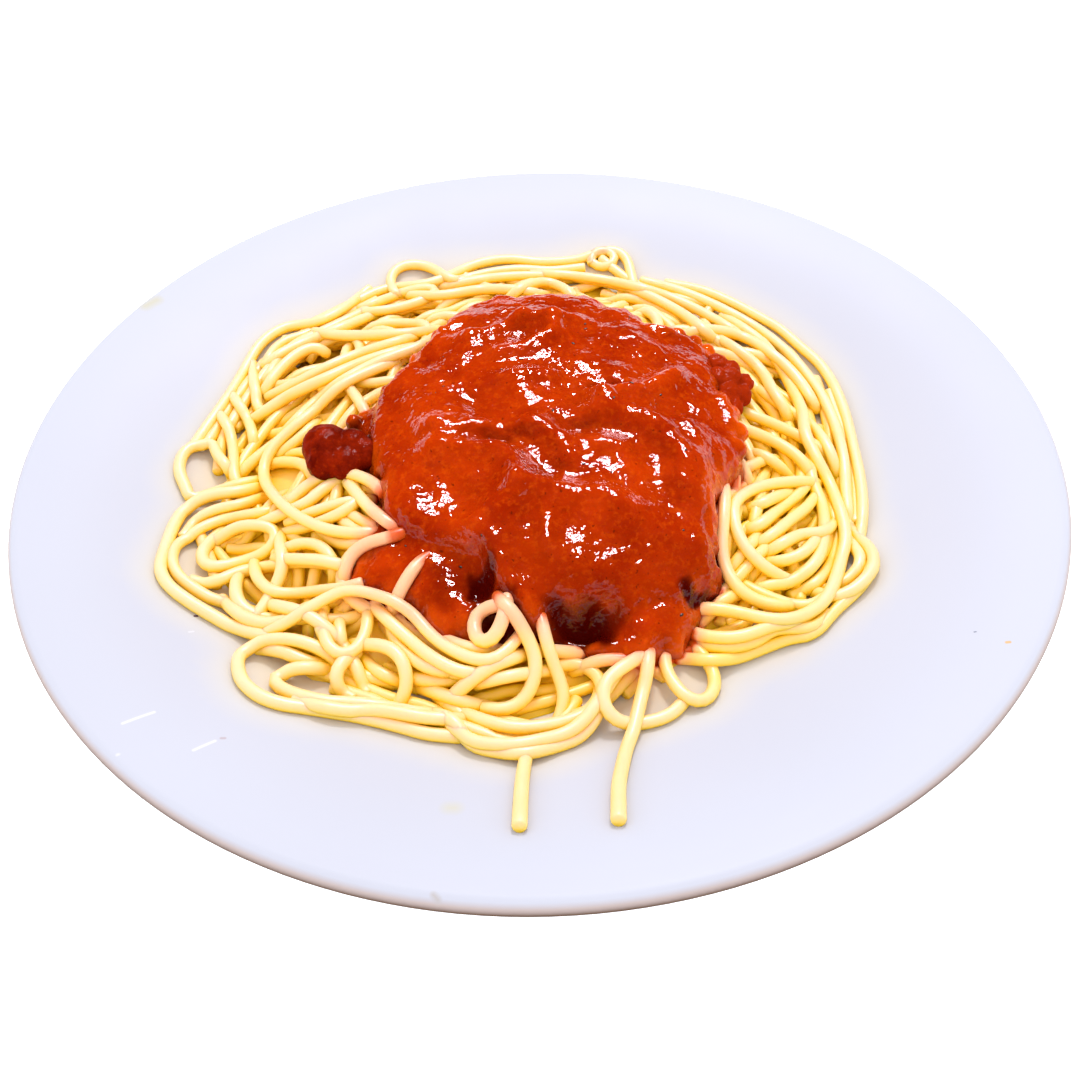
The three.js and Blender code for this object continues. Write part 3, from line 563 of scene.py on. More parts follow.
lowRoutes = [    # the routes that show, seen from above, from the lowest up
    [(-3.6, -84.5), (-4.2, -88.4), (-4.9, -94), (-5.2, -100), (-5.4, -106.6)],
    [(78.5, 24), (79, 10), (78.6, -2), (76.8, -15), (75, -25)],
    [(68.5, -18), (69.5, -26), (68.5, -33), (66, -39.5), (61, -45.5), (55, -49.5)],
    [(66, -24), (67, -30), (65, -36), (61, -41), (55, -44.5)],
    [(-75, 43), (-76.5, 37), (-78.5, 30), (-82, 18), (-84.5, 9)],
    [(-70, 44), (-73, 36), (-75.5, 27), (-78, 18), (-80, 8), (-79, -4)],
    [(-46, 72), (-55, 62), (-61.5, 57), (-68, 54), (-72, 50), (-74, 45), (-75, 38)],
    [(-42, 69), (-52, 59), (-59.5, 53.5), (-66, 50), (-69, 46), (-71, 38), (-73, 28)],
    [(-34, 76), (-24, 80.5), (-14, 84), (-4, 85.5), (6, 84.5), (16, 85)],
    [(-30, 72), (-20, 76.5), (-8, 80.5), (4, 81), (14, 80)],
    [(-52, 64), (-44, 70), (-34, 76), (-26, 78), (-16, 79)],
    [(-66, 58), (-51.6, 70.5), (-44, 76), (-30, 80), (-15, 88), (-6, 89.5), (3, 88), (15, 88.5),
     (20, 90.5), (26, 91), (29, 87.5), (30, 81), (31, 72)],
    [(-20, 80), (-26.7, 83), (-30, 85.5), (-35.2, 86.5), (-39.7, 85), (-42, 81), (-41.7, 77),
     (-38, 72)],
    [(18, 88), (21, 84.5), (25, 86), (25.5, 89.5), (22, 91.5), (18.5, 90), (18.5, 86.5)],
    [(40, 76), (50, 71.5), (57, 66), (64, 58.8), (69.7, 52), (74, 44), (78, 36), (80, 28), (81, 17),
     (80.4, 0), (79, -15), (77, -24), (75, -30)],
    [(33, 78), (44, 72), (54, 64), (64, 53), (71, 41), (75.5, 27), (77, 12), (76.5, -3), (74.5, -16),
     (73, -28)],
    [(-48, 75.5), (-57.3, 65), (-63, 60.5), (-69.8, 57.5), (-74.3, 53), (-77.2, 47.5), (-79.4, 39.5),
     (-81.7, 31), (-85.7, 17), (-88, 8)],
    [(-84, 22), (-79, 12), (-76, 2), (-74, -8), (-70, -16)],
    [(-82, 30), (-76, 18), (-72, 8), (-70, 0)],
    [(-75, -7), (-77.5, -2), (-80.5, 2.5), (-82.5, 7.5), (-84.5, 9.5), (-88.5, 8), (-90, 3),
     (-89.5, -2), (-87, -7), (-85, -11), (-79, -11.5), (-70, -11), (-62, -13)],
    [(-64, -14), (-72, -13.5), (-80, -12), (-85.5, -13.5), (-87, -19), (-87.3, -28), (-87, -36),
     (-84.5, -40.5), (-80, -44.5), (-71, -50), (-64, -54), (-56, -58), (-50, -62)],
    [(-60, -22.5), (-68, -22), (-76, -21.5), (-82, -22.5), (-85.3, -27), (-85.3, -32), (-83.5, -36.5),
     (-79, -40.5), (-73, -44), (-67, -47.5), (-62, -50)],
    [(-62, -17), (-70, -18), (-78, -17.5), (-83, -19.5), (-84.5, -24)],
    [(-79, -30), (-76, -27.5), (-71, -25), (-65, -26), (-61, -28.5), (-60.5, -32), (-63, -34.5),
     (-69, -35.4), (-74.5, -35), (-78, -33), (-79, -29), (-74, -25)],
    [(-80, -38), (-74, -39), (-68, -38), (-61, -38.5), (-55, -38.5), (-49, -40), (-44, -42)],
    [(-68, -37), (-69, -42), (-67, -47), (-62, -51), (-56, -52.5), (-50, -50.5), (-44, -51)],
    [(-72, -44), (-66, -50), (-60, -53), (-52, -53), (-44, -55), (-36, -54)],
    [(-64, -52), (-60, -46), (-58, -40), (-59, -34), (-60, -28)],
    [(-61, -48), (-52, -52), (-45, -58), (-40, -65), (-37, -72)],
    [(-62, -58), (-56, -60), (-50, -63.5), (-44, -65.5)],
    [(-60, -57), (-53, -58.5), (-46, -62.5), (-42, -67)],
    [(-44, -52), (-43.5, -58), (-42, -64)],
    [(-47, -50), (-48, -56), (-45, -61)],
    [(-17.5, -82), (-24, -81), (-30, -79), (-38, -76.5), (-48, -75), (-55, -74), (-59.5, -72),
     (-63.5, -68), (-65, -64), (-65.4, -60), (-63, -57), (-58, -56.8), (-52, -58.5), (-46, -62),
     (-42, -66)],
    [(-20, -78), (-28, -76.5), (-35, -74.5), (-42, -73), (-50, -71.5), (-55, -69.7), (-57.5, -66.8),
     (-55, -64.4), (-50, -64.6), (-45, -66)],
    [(-14, -79), (-24, -78), (-34, -75.5), (-44, -74.5), (-52, -73)],
    [(-39, -63.5), (-35.3, -67.2), (-31.6, -69.5), (-26, -72)],
    [(-28, -71), (-24, -72.5), (-19, -74.5), (-13, -76.5), (-9, -77.4)],
    [(-30, -60), (-25, -64.5), (-19, -68), (-13, -68.5), (-7, -66.5), (-3, -65), (4, -64)],
    [(-33, -67), (-28, -69.5), (-24, -70.5), (-19, -71), (-14, -69.5), (-10, -67.5), (-5, -66),
     (2, -66)],
    [(-34, -57), (-30, -62), (-25, -67), (-18, -69.5), (-10, -70.5), (0, -69.8), (8, -70)],
    [(-18, -77), (-12, -79.5), (-5, -81), (3, -80.2), (7.7, -78.8), (10.9, -76), (12, -71)],
    [(-24, -77), (-19, -78.6), (-16.6, -82), (-14.3, -84.7), (-10.5, -86), (-5.4, -87), (-0.7, -86),
     (4, -84.2), (8, -82), (11, -78), (12, -72.5), (9.5, -69.3), (5.3, -68.3), (0, -69.8), (-6, -70.5),
     (-14, -72)],
    [(-20, -79), (-15, -83), (-9, -84.2), (-2, -83.4), (5, -81.8), (9.5, -78), (13, -73), (17, -68),
     (22, -64)],
    [(6, -70), (12, -67.5), (19, -67.5), (25.2, -70.6)],
    [(26, -62), (21, -66), (15.6, -69.5), (12.4, -72.5), (12, -76.7), (14.2, -79.5), (17, -80.2),
     (21.7, -79.5), (26.3, -77.7), (29.2, -74.8)],
    [(27, -60), (25.6, -65), (25.4, -68.8), (27, -72), (30, -74.8), (33.5, -74.8), (35.8, -71.5),
     (35.2, -67.6), (32.4, -64), (30, -60)],
    [(28, -66.5), (36, -66.3), (41, -65.4), (47, -62.6), (53.7, -59.3), (60.2, -57), (63, -53.7),
     (66, -50.5), (70, -47), (74, -42.5), (76, -38)],
    [(30, -62), (35, -63.4), (40.6, -63), (46, -61), (50, -58), (54, -57), (60, -55.5), (63.5, -52)],
    [(26, -58), (33, -61), (40.6, -61), (45.7, -59.2), (49, -57.5), (56, -55), (62, -51)],
    [(73, -27), (76, -31), (77, -35), (76, -39.7), (73, -43.4), (69.5, -46.2), (65, -47.5), (60, -47)],
    [(71, -30), (74, -33), (73.5, -38), (70, -42), (66, -44.5)],
    [(44, -48), (50, -50.5), (56, -51.5), (61, -50), (65, -46)],
    [(45.7, -50), (50, -47.6), (55, -46.2), (60.2, -42), (63, -38.7), (65.3, -33.6), (66.7, -28),
     (67.2, -22.4), (66, -14), (68, -4), (72, 6)],
    [(46, -34), (50, -32), (55, -27), (61, -21), (66, -14)],
    [(48, -38), (53, -34), (58, -29), (63, -24), (67, -18)],
    [(50, -40), (55, -36), (61, -32), (66, -30.5), (70, -26)],
    [(47, -28), (52, -25), (57, -21.5), (62, -19.5)],
    [(50, -42), (56, -40), (61, -36.5), (65, -31)],
    [(50, -9), (55, -9), (59, -13), (61, -18)],
    [(46, 2), (53, -1), (60, -4), (65, -9), (66, -15)],
    [(48, 8), (56, 5), (63, 2), (70, -2), (74, -8)],
    [(56, 20), (63, 12), (70, 6), (73, -2), (73, -12)],
    [(48.7, 43), (54.4, 37.5), (58.3, 31.8), (60.6, 26), (61.7, 18.8), (63.4, 12), (64, 3)],
    [(69.5, -15.4), (64, -15.6), (58.3, -17.3), (52.7, -19.6), (48.5, -22.4), (45.3, -26),
     (44.6, -30.3), (45, -35), (46.4, -38.7), (49, -42), (52.3, -44.4), (57, -46)],
    [(43, -16), (43.4, -23), (42.6, -28), (41.8, -33), (40.8, -39), (41, -44.4), (43, -49),
     (46.5, -51.5), (52, -52.3), (58, -51)],
    [(28, -56), (35.5, -54.8), (40, -54.8), (45, -55.4), (50, -55.7), (54.6, -54.8), (59.7, -52),
     (63.9, -47.8), (66.7, -43), (69, -37.3), (71.2, -31.7), (71.9, -26), (71.4, -20), (70.5, -14),
     (68.5, -5), (67.5, 2), (68.5, 12), (67.4, 23), (66.3, 34), (64, 44.5), (59.5, 53), (54.4, 59)],
    [(38.5, 38), (48, 46), (58, 46), (66, 38), (71, 26), (73, 14)],
    [(-76, 39), (-70, 46), (-61, 50), (-52, 54), (-42, 60)],
    [(-56, 38), (-60.7, 44), (-65.3, 42), (-68.7, 36), (-71, 29), (-72, 20)],
    [(-78, 42), (-76, 33), (-74, 26), (-72, 18), (-66, 10)],
    [(-62, 55), (-54, 48), (-44, 44), (-34, 42), (-24, 42)],
    [(-70, 22), (-62, 26), (-52, 32), (-42, 36), (-30, 40)],
    [(-74, 12), (-64, 20), (-54, 25), (-44, 30), (-32, 34)],
    [(-50, 62), (-40, 60), (-32, 63), (-28, 70), (-32, 76), (-40, 74)],
    [(-36, 70), (-26, 66), (-14, 68), (-4, 66), (6, 60)],
    [(-7, 58), (-4, 66), (-1, 70.5), (4, 73.5), (8, 69.5), (11, 63.5), (12, 56)],
    [(10, 80), (22, 76), (32, 68), (40, 58), (46, 48), (50, 38)],
    [(0, 84), (14, 82), (28, 76), (40, 68), (50, 57), (58, 46)],
    [(-25, 40), (-30, 34), (-40, 29), (-50, 22), (-58, 12), (-64, 2)],
    [(-60, -35.5), (-56, -33.8), (-51.5, -34.2), (-48, -37), (-46, -41), (-45.5, -46)],
    [(-66, -26), (-60, -24), (-54, -22), (-50, -18), (-44, -15.5)],
    [(-58, -27), (-50, -24.5), (-43.5, -23.6), (-38, -24)],
    [(-60, -30), (-52, -29), (-46, -27), (-42, -24), (-40, -19)],
    [(-36, 28), (-50, 20), (-55.5, 11.5), (-60, 6.5), (-65, 0), (-66.3, -4), (-66.4, -9), (-65, -13.5),
     (-62.3, -18), (-59.3, -22), (-55.4, -26), (-50, -30), (-45, -32.3), (-39.3, -33.4), (-30, -33.5)],
    [(-60, -36.6), (-54.5, -38), (-49.3, -39.2), (-44, -41.5)],
    [(-40, -37), (-43, -40), (-44, -44.5), (-42.5, -49), (-38, -53), (-33, -56)],
    [(-47.5, -54), (-47, -58), (-44.8, -61.8), (-42, -63.2), (-39.3, -62), (-37.8, -59), (-37.4, -55),
     (-38, -51)],
    [(-31, -49), (-32.5, -52.5), (-32.3, -57), (-31.6, -61), (-29, -64.4), (-23, -68.3), (-16, -69.3)],
    [(-40.5, -61), (-37.5, -61.4), (-33.5, -62.2), (-30.2, -64.8), (-28.6, -69), (-28.8, -72.5),
     (-30.5, -75.5)],
    [(-39.5, -63), (-42.6, -64.4), (-44, -67.3), (-43, -70.3), (-39.8, -72.6)],
    [(-20.5, -75.5), (-15, -71), (-10, -68), (-5, -66.5), (0, -65)],
    [(-33, -53.5), (-29.5, -57.7), (-25, -61.7), (-20, -65), (-14, -67), (-8, -67.3)],
    [(-38.3, -50.5), (-36.7, -52.1), (-34.2, -55.1), (-31.2, -58.4), (-28.2, -61.4), (-24.8, -64.6),
     (-21.1, -67.3), (-17, -69.3), (-12, -70)],
    [(-27, -57.3), (-24.5, -59.3), (-21.7, -61.3), (-18.5, -63.1), (-14.5, -64.5), (-10.1, -65),
     (-5, -65)],
]
topRoutes = [    # laid after the sauce: sauced length, drop and its length at each end, then the route
    ((0, 4, 9), (4, 4, 9), [(-59.5, -23), (-57.5, -19.5), (-54, -16), (-49.7, -13.8), (-45.8, -14),
     (-42, -16), (-38.6, -18.6), (-35.5, -22.5)]),
    ((0, 4, 9), (4, 4, 9), [(-44.6, -17.5), (-41.5, -22.5), (-38.5, -26.6), (-35.4, -29.8),
     (-32, -32.6)]),
    ((8, 7.5, 11), (0, 1.5, 4), [(-21.6, -40.5), (-25, -42.1), (-27.2, -43.8), (-29, -46.4),
     (-30.3, -49.1), (-31.3, -51.4), (-32, -54.5)]),
    ((0, 3, 6), (6, 5, 8), [(-43.3, -46.6), (-43.2, -42), (-41.4, -38.3), (-38, -35.8), (-34, -34.6),
     (-30, -34)]),
    ((0, 3, 6), (0, 0.6, 3), [(-65, -36), (-64.5, -39.5), (-63, -42), (-60, -45), (-55.5, -46.6),
     (-50.9, -47), (-47.5, -47.1), (-43, -47.4), (-39.4, -46.8)]),
    ((4, 3, 5), (0, 3, 5), [(-6.8, -53.4), (-9.4, -52), (-12.3, -53.8), (-14.2, -56.6), (-14.6, -59.9),
     (-13.8, -62.6), (-11.8, -64.3), (-9.5, -63.9), (-7.8, -61.8), (-6.8, -59.8)]),
    ((0, 4, 8), (0, 3, 8), [(-63, -55.5), (-59, -54.8), (-55, -53.2), (-50.6, -50.9), (-46.9, -50),
     (-43.2, -49.7), (-37.6, -50.5), (-33.1, -52), (-29.8, -54.4), (-26.8, -57), (-24.6, -59.9),
     (-21.7, -62.8), (-18.9, -64.6), (-15.3, -65.8), (-11.8, -65.6), (-7.6, -64.7), (-4.4, -64)]),
    ((0, 3, 6), (0, 3, 6), [(8, -66), (1.5, -66), (-3, -66.5)]),
    ((3, 4, 5), (0, 4, 8), [(-0.4, -62.2), (0.5, -64.8), (2, -68.9), (3.6, -73.1), (4, -76.1),
     (2.6, -79.6)]),
    ((4, 3.5, 5), (0, 1.5, 4), [(-9.4, -51), (-8.2, -53.5), (-5.7, -56.6), (-3.7, -60.3), (-2.4, -64.1),
     (-1.7, -67), (-1.9, -71), (-3.3, -74.6), (-6, -76.8), (-9.5, -77.4), (-12.5, -76.8)]),
    ((1, 4, 5), (0, 0, 1), [(22.2, -65), (21.3, -70.7), (20.2, -74.1), (19.1, -77.5), (17.6, -82.3),
     (15.9, -87), (14.7, -91.7), (13.7, -96.3), (13.3, -101), (12.9, -106)]),
]
filler = {
    "seed": 77, "layers": [(46, 8.0, 0.0), (50, 5.0, 0.4), (46, 3.4, 0.8), (40, 2.8, 1.2)],
    "length": (55, 150), "step": 1.5, "bend": 0.045, "turnChance": 0.05, "follow": 0.35, "fewest": 24,
    "loopChance": 0.011, "loopBend": 0.105, "loopTurns": (0.5, 1.1), "loopTightness": (0.8, 1.3),
    "edgeSteer": 0.00875, "edgeReach": 6, "sauceSteer": 0.0245, "startTries": 40,
    "startRadius": (20, 90), "startDepth": 3, "headingSpread": 0.35,
    "under": 3.4, "sparse": 6.0, "thinnest": 1.0, "sparseFront": (-35, 20), "sparseSides": (48, 14, 25),
}
heapMiddle = {    # the core under the noodles
    "radius": 85, "sides": 72, "thick": 4, "rings": 9, "ringWidth": 9, "margin": 11, "drop": 7.5,
    "edgeDrop": 3.0, "edgeReach": 12, "inset": 9, "sink": 1.5,
}

heightMap = plateTop(np.hypot(mapX, mapY)) + 0.02
coreLevel = heapTop(mapX, mapY) - heapMiddle["drop"]
coreLevel = coreLevel - heapMiddle["edgeDrop"] * np.exp(-heapDepth / heapMiddle["edgeReach"])
coreLevel = np.maximum(coreLevel, heightMap - heapMiddle["sink"])
heightMap = np.maximum(heightMap, np.where(heapDepth > heapMiddle["inset"], coreLevel, 0))
laidUnder, laidOver = [], []


def footprint(line, reach):
    span = int(math.ceil(reach / mapGrid["cell"]))
    offsets = np.arange(-span, span + 1)
    cx, cy = mapCell(line[:, 0])[:, None, None], mapCell(line[:, 1])[:, None, None]
    ix = np.clip(cx + offsets[None, None, :], 0, mapWidth - 1) + 0 * offsets[None, :, None]
    iy = np.clip(cy + offsets[None, :, None], 0, mapWidth - 1) + 0 * offsets[None, None, :]
    gapSquared = (mapAxis[ix] - line[:, 0, None, None]) ** 2 + (mapAxis[iy] - line[:, 1, None, None]) ** 2
    room = reach * reach - gapSquared
    dome = np.where(room > 0, np.sqrt(np.maximum(0, room)), -np.inf)
    return iy, ix, dome


def restingLevel(line, sink, ends):    # how high the middle of a noodle lies on what is below it
    iy, ix, dome = footprint(line, noodle["radius"])
    needed = (heightMap[iy, ix] + dome).max(axis=(1, 2)) - sink
    level = needed.copy()
    for _ in range(noodle["settle"]):
        level[1:-1] = np.maximum(needed[1:-1], 0.5 * (level[:-2] + level[2:]) - noodle["sag"])
    level = np.maximum(evenOut(level, noodle["blend"]), needed - noodle["give"])
    along = np.arange(len(line)) * noodle["station"]
    for (_, drop, reach), away in zip(ends, (along, along[::-1])):
        level -= drop * np.clip(1 - away / reach, 0, 1) ** 2
    lowest = plateTop(np.hypot(line[:, 0], line[:, 1])) + noodle["lowest"] * noodle["radius"]
    return np.maximum(evenOut(level, noodle["endBlend"]), lowest)


def drawnLevel(x, y):    # the surface that the routes were drawn on
    beyond = np.hypot(x - heap["x"], y - heap["y"]) / heap["radius"] - 1
    onPlate = plateTop(np.hypot(x, y)) + heap["edgeRise"] * np.clip(1 - 8 * beyond, 0, 1)
    return np.where(beyond < 0, heapTop(x, y), onPlate)


def leanOver(line, level):    # keeps a raised stretch in line with its route, seen from the front
    lift = math.radians(cameraView["elevation"])
    eyeX, eyeY = cameraView["aim"][0], cameraView["aim"][1] - cameraView["distance"] * math.cos(lift)
    eyeZ = cameraView["distance"] * math.sin(lift)
    drawn = drawnLevel(line[:, 0], line[:, 1])
    share = ((level - drawn) / (eyeZ - drawn))[:, None]
    return line + ([eyeX, eyeY] - line) * share


def layLine(route, keep, tone, sink=noodle["sink"], ends=noodle["ends"], drawn=False):
    line, level = route, restingLevel(route, sink, ends)
    for _ in range(noodle["leanRounds"] if drawn else 0):
        line = leanOver(route, level)
        level = restingLevel(line, sink, ends)
    iy, ix, dome = footprint(line, noodle["radius"])
    np.maximum.at(heightMap, (iy, ix), level[:, None, None] + dome)
    along = np.arange(len(line)) * noodle["station"]
    coats = [np.clip((sauced + noodle["coatPast"] - away) / noodle["coatFade"], 0, 1) * (sauced > 0)
             for (sauced, _, _), away in zip(ends, (along, along[::-1]))]
    keep.append((np.column_stack([line, level, np.maximum(*coats)]), tone, route if drawn else None))


def runsWhere(flags):    # start and end of each unbroken stretch that holds
    edges = np.flatnonzero(np.diff(np.concatenate([[0], flags.astype(int), [0]])))
    return list(zip(edges[::2], edges[1::2]))


def cutUnderSauce(line):    # keeps the stretches that show, and a little more where they go under
    shown = mapValue(sauceDepth, line[:, 0], line[:, 1]) < noodle["tuck"]
    return [line[start:end] for start, end in runsWhere(shown) if end - start > noodle["fewest"]]


def inClearing(x, y):
    hit = np.zeros(np.shape(x), bool)
    spare = noodle["clearance"]
    for mx, my, halfX, halfY, turn in clearings:
        c, s = math.cos(math.radians(turn)), math.sin(math.radians(turn))
        u, v = (x - mx) * c + (y - my) * s, (y - my) * c - (x - mx) * s
        hit |= (u / (halfX + spare)) ** 2 + (v / (halfY + spare)) ** 2 < 1
    return hit


def startSpot(rng, around, inset):    # tries for a place inside the heap and clear of the sauce
    for _ in range(filler["startTries"]):
        r = rng.uniform(*filler["startRadius"])
        x, y = heap["x"] + r * math.cos(around), r * math.sin(around)
        if mapValue(heapDepth, x, y) > inset and mapValue(sauceDepth, x, y) < filler["startDepth"]:
            break
    return x, y


def steerAt(x, y, heading, inset, looping):    # back in at the edge of the heap, and off the sauce
    around = math.atan2(y - heap["y"], x - heap["x"])
    outward = math.cos(heading - around)
    inward = 1 if math.sin(heading - around) > 0 else -1    # the turn that leads back into the heap
    pastEdge = inset + filler["edgeReach"] - mapValue(heapDepth, x, y)
    if pastEdge > 1 and outward > -0.2:
        return filler["edgeSteer"] * pastEdge * inward
    if mapValue(sauceDepth, x, y) > 0 and outward < 0.2 and looping == 0:
        return -filler["sauceSteer"] * inward
    return 0.0


def wander(rng, inset):    # a loose stretch of noodle that turns round the heap, now and then in a loop
    around = rng.uniform(0, 2 * math.pi)
    x, y = startSpot(rng, around, inset)
    heading = around + math.pi / 2 * rng.choice([-1, 1]) + rng.normal(0, filler["headingSpread"])
    count = int(rng.uniform(*filler["length"]) / filler["step"])
    bend, target = 0.0, rng.normal(0, filler["bend"])
    looping, points = 0, []
    for _ in range(count):
        points.append((x, y))
        if rng.random() < filler["turnChance"]:
            target = rng.normal(0, filler["bend"])
        if looping == 0 and rng.random() < filler["loopChance"]:
            fullTurn = 2 * math.pi / filler["loopBend"] / filler["step"]
            looping = int(fullTurn * rng.uniform(*filler["loopTurns"]))
            target = filler["loopBend"] * rng.choice([-1, 1]) * rng.uniform(*filler["loopTightness"])
        if looping > 0:
            looping -= 1
            if looping == 0:
                target = rng.normal(0, filler["bend"])
        bend += filler["follow"] * (target - bend)
        heading += (bend + steerAt(x, y, heading, inset, looping)) * filler["step"]
        x += filler["step"] * math.cos(heading)
        y += filler["step"] * math.sin(heading)
    return np.array(points)


def fillerLimit(x, y):    # fewer loose noodles where the listed ones lie thick
    (front, frontReach), (side, sideReach, back) = filler["sparseFront"], filler["sparseSides"]
    crowded = np.clip((front - y) / frontReach, 0, 1)
    crowded = crowded + 0.5 * np.clip((np.abs(x) - side) / sideReach, 0, 1) * (y < back)
    floor = plateTop(np.hypot(x, y)) + filler["thinnest"]
    return np.maximum(floor, heapTop(x, y) - filler["under"] - filler["sparse"] * np.minimum(1, crowded))


def allowedRun(line, inset, spare):    # the longest stretch inside the heap where there is room
    ok = (mapValue(heapDepth, line[:, 0], line[:, 1]) > inset) & ~inClearing(line[:, 0], line[:, 1])
    ok &= mapValue(heightMap, line[:, 0], line[:, 1]) < fillerLimit(line[:, 0], line[:, 1]) + spare
    start, end = max(runsWhere(ok), key=lambda run: run[1] - run[0], default=(0, 0))
    return line[start:end]


def layFillers():
    rng = np.random.default_rng(filler["seed"])
    for count, inset, spare in filler["layers"]:
        laid = 0
        for _ in range(count * 3):
            line = smoothCurve(wander(rng, inset), noodle["station"])
            tone = rng.uniform(0, 1)
            line = allowedRun(line, inset, spare)
            for run in cutUnderSauce(line):
                if len(run) > filler["fewest"]:
                    layLine(run, laidUnder, tone)
                    laid += 1
            if laid >= count:
                break


def layLowRoutes():
    rng = np.random.default_rng(11)
    for route in lowRoutes:
        line = smoothCurve(route, noodle["station"], ease=noodle["ease"])
        tone = rng.uniform(0, 1)
        for run in cutUnderSauce(line):
            layLine(run, laidOver, tone, drawn=True)


def layTopRoutes():
    rng = np.random.default_rng(12)
    for *ends, route in topRoutes:
        line = smoothCurve(route, noodle["station"], ease=noodle["ease"])
        layLine(line, laidOver, rng.uniform(0, 1), noodle["topSink"], ends, drawn=True)


def softened(grid, rounds):
    for _ in range(rounds):
        grid = (grid + sum(np.roll(grid, step, axis) for step in (-1, 1) for axis in (0, 1))) / 5
    return grid


def pressDown(z, x, y, half):    # the highest crossings give way, and so does all under the sauce
    over = np.maximum(0, z - heapTop(x, y) - noodle["pressFrom"])
    z = z - (1 - noodle["press"]) * over
    depth = mapValue(sauceDepth, x, y)
    over = np.maximum(0, z - sauceTop(x, y, np.maximum(depth, 0)) + sauce["film"] + half)
    return z - np.clip(depth / sauce["cover"], 0, 1) * over


layFillers()
layLowRoutes()
for line, _, route in laidUnder + laidOver:
    line[:, 2] = pressDown(line[:, 2], line[:, 0], line[:, 1], noodle["radius"])
    if route is not None:
        line[:, :2] = leanOver(route, line[:, 2])
heightMap = pressDown(heightMap, mapX, mapY, 0.0)
lowestFoot = heapTop(mapX, mapY) - sauce["lowestFoot"]
sauceFoot = softened(np.maximum(heightMap, lowestFoot), sauce["footRounds"]) - sauce["footDip"]
sauceFoot = np.clip(sauceFoot, lowestFoot, lowestFoot + sauce["lowestFoot"])
sauceLevel = np.maximum(sauceTop(mapX, mapY, sauceDepth),
                        np.where(sauceDepth > sauce["filmFrom"], heightMap + sauce["film"], 0))
bareMap = heightMap.copy()
heightMap = np.where(sauceDepth > 0.3, np.maximum(heightMap, sauceLevel), heightMap)
layTopRoutes()
print("noodles laid:", len(laidUnder), "under and", len(laidOver), "over")


def evenPath(line, step):    # the same line at even steps, with its coat of sauce as a fourth value
    along = np.concatenate([[0], np.cumsum(np.linalg.norm(np.diff(line[:, :3], axis=0), axis=1))])
    steps = np.linspace(0, along[-1], max(4, int(along[-1] / step) + 1))
    return np.stack([np.interp(steps, along, line[:, k]) for k in range(4)], 1)


def withEnds(rows):
    return np.concatenate([rows[:1], rows, rows[-1:]])


def tubeSkin(path, sides, rng):    # rings round the path, and a smaller one just past each end
    ahead = np.gradient(path, axis=0)
    ahead /= np.linalg.norm(ahead, axis=1)[:, None]
    side = np.cross(ahead, [0, 0, 1.0])
    side /= np.linalg.norm(side, axis=1)[:, None]
    side, up = withEnds(side), withEnds(np.cross(side, ahead))
    uneven = rng.normal() + np.sin(np.arange(len(path)) * noodle["swellPace"] + rng.uniform(0, 6))
    thick = withEnds(noodle["radius"] * (1 + noodle["uneven"] * uneven))
    thick[[0, -1]] *= noodle["capShare"]
    past = noodle["capLength"] * noodle["radius"]
    path = withEnds(path)
    path[0] -= ahead[0] * past
    path[-1] += ahead[-1] * past
    turns = 2 * math.pi * np.arange(sides) / sides
    ring = side[:, None] * np.cos(turns)[:, None] + up[:, None] * np.sin(turns)[:, None]
    return (path[:, None, :] + ring * thick[:, None, None]).reshape(-1, 3)


def tubeFaces(rows, sides, base):
    row = base + np.arange(rows - 1)[:, None] * sides
    a, b = row + np.arange(sides), row + (np.arange(sides) + 1) % sides
    faces = np.stack([a, b, b + sides, a + sides], -1).reshape(-1, 4).tolist()
    faces.append([base + k for k in reversed(range(sides))])
    faces.append([base + (rows - 1) * sides + k for k in range(sides)])
    return faces


def tubeMesh(lines, name, sides, step):
    spots, faces, tones, coats, base = [], [], [], [], 0
    rng = np.random.default_rng(5)
    for line, tone, _ in lines:
        path = evenPath(line, step)
        skin = tubeSkin(path[:, :3], sides, rng)
        spots.append(skin)
        tones.append(np.full(len(skin), tone))
        coats.append(np.repeat(withEnds(path[:, 3]), sides))
        faces += tubeFaces(len(path) + 2, sides, base)
        base += len(skin)
    mesh = bpy.data.meshes.new(name)
    mesh.from_pydata(np.vstack(spots) * mm, [], faces)
    mesh.update()
    thing = bpy.data.objects.new(name, mesh)
    bpy.context.scene.collection.objects.link(thing)
    addAttribute(thing, "tone", np.concatenate(tones))
    addAttribute(thing, "coat", np.concatenate(coats))
    return thing


stain = {    # how far sauce has run onto the noodles round it, and how strongly
    "reach": 0.6, "patchy": 1.8, "deeper": 1.5, "strength": 0.7, "fall": 1.6, "touch": 2.6,
    "sunkDepth": 6,
}
shadedSides = [    # painted shade on the heap's sides away from the light: strength, where it starts and how soon it is full: to the right, and to the front
    (0.35, 35, 25, 45, 30), (0.6, 24, 14, -44, 10),
]


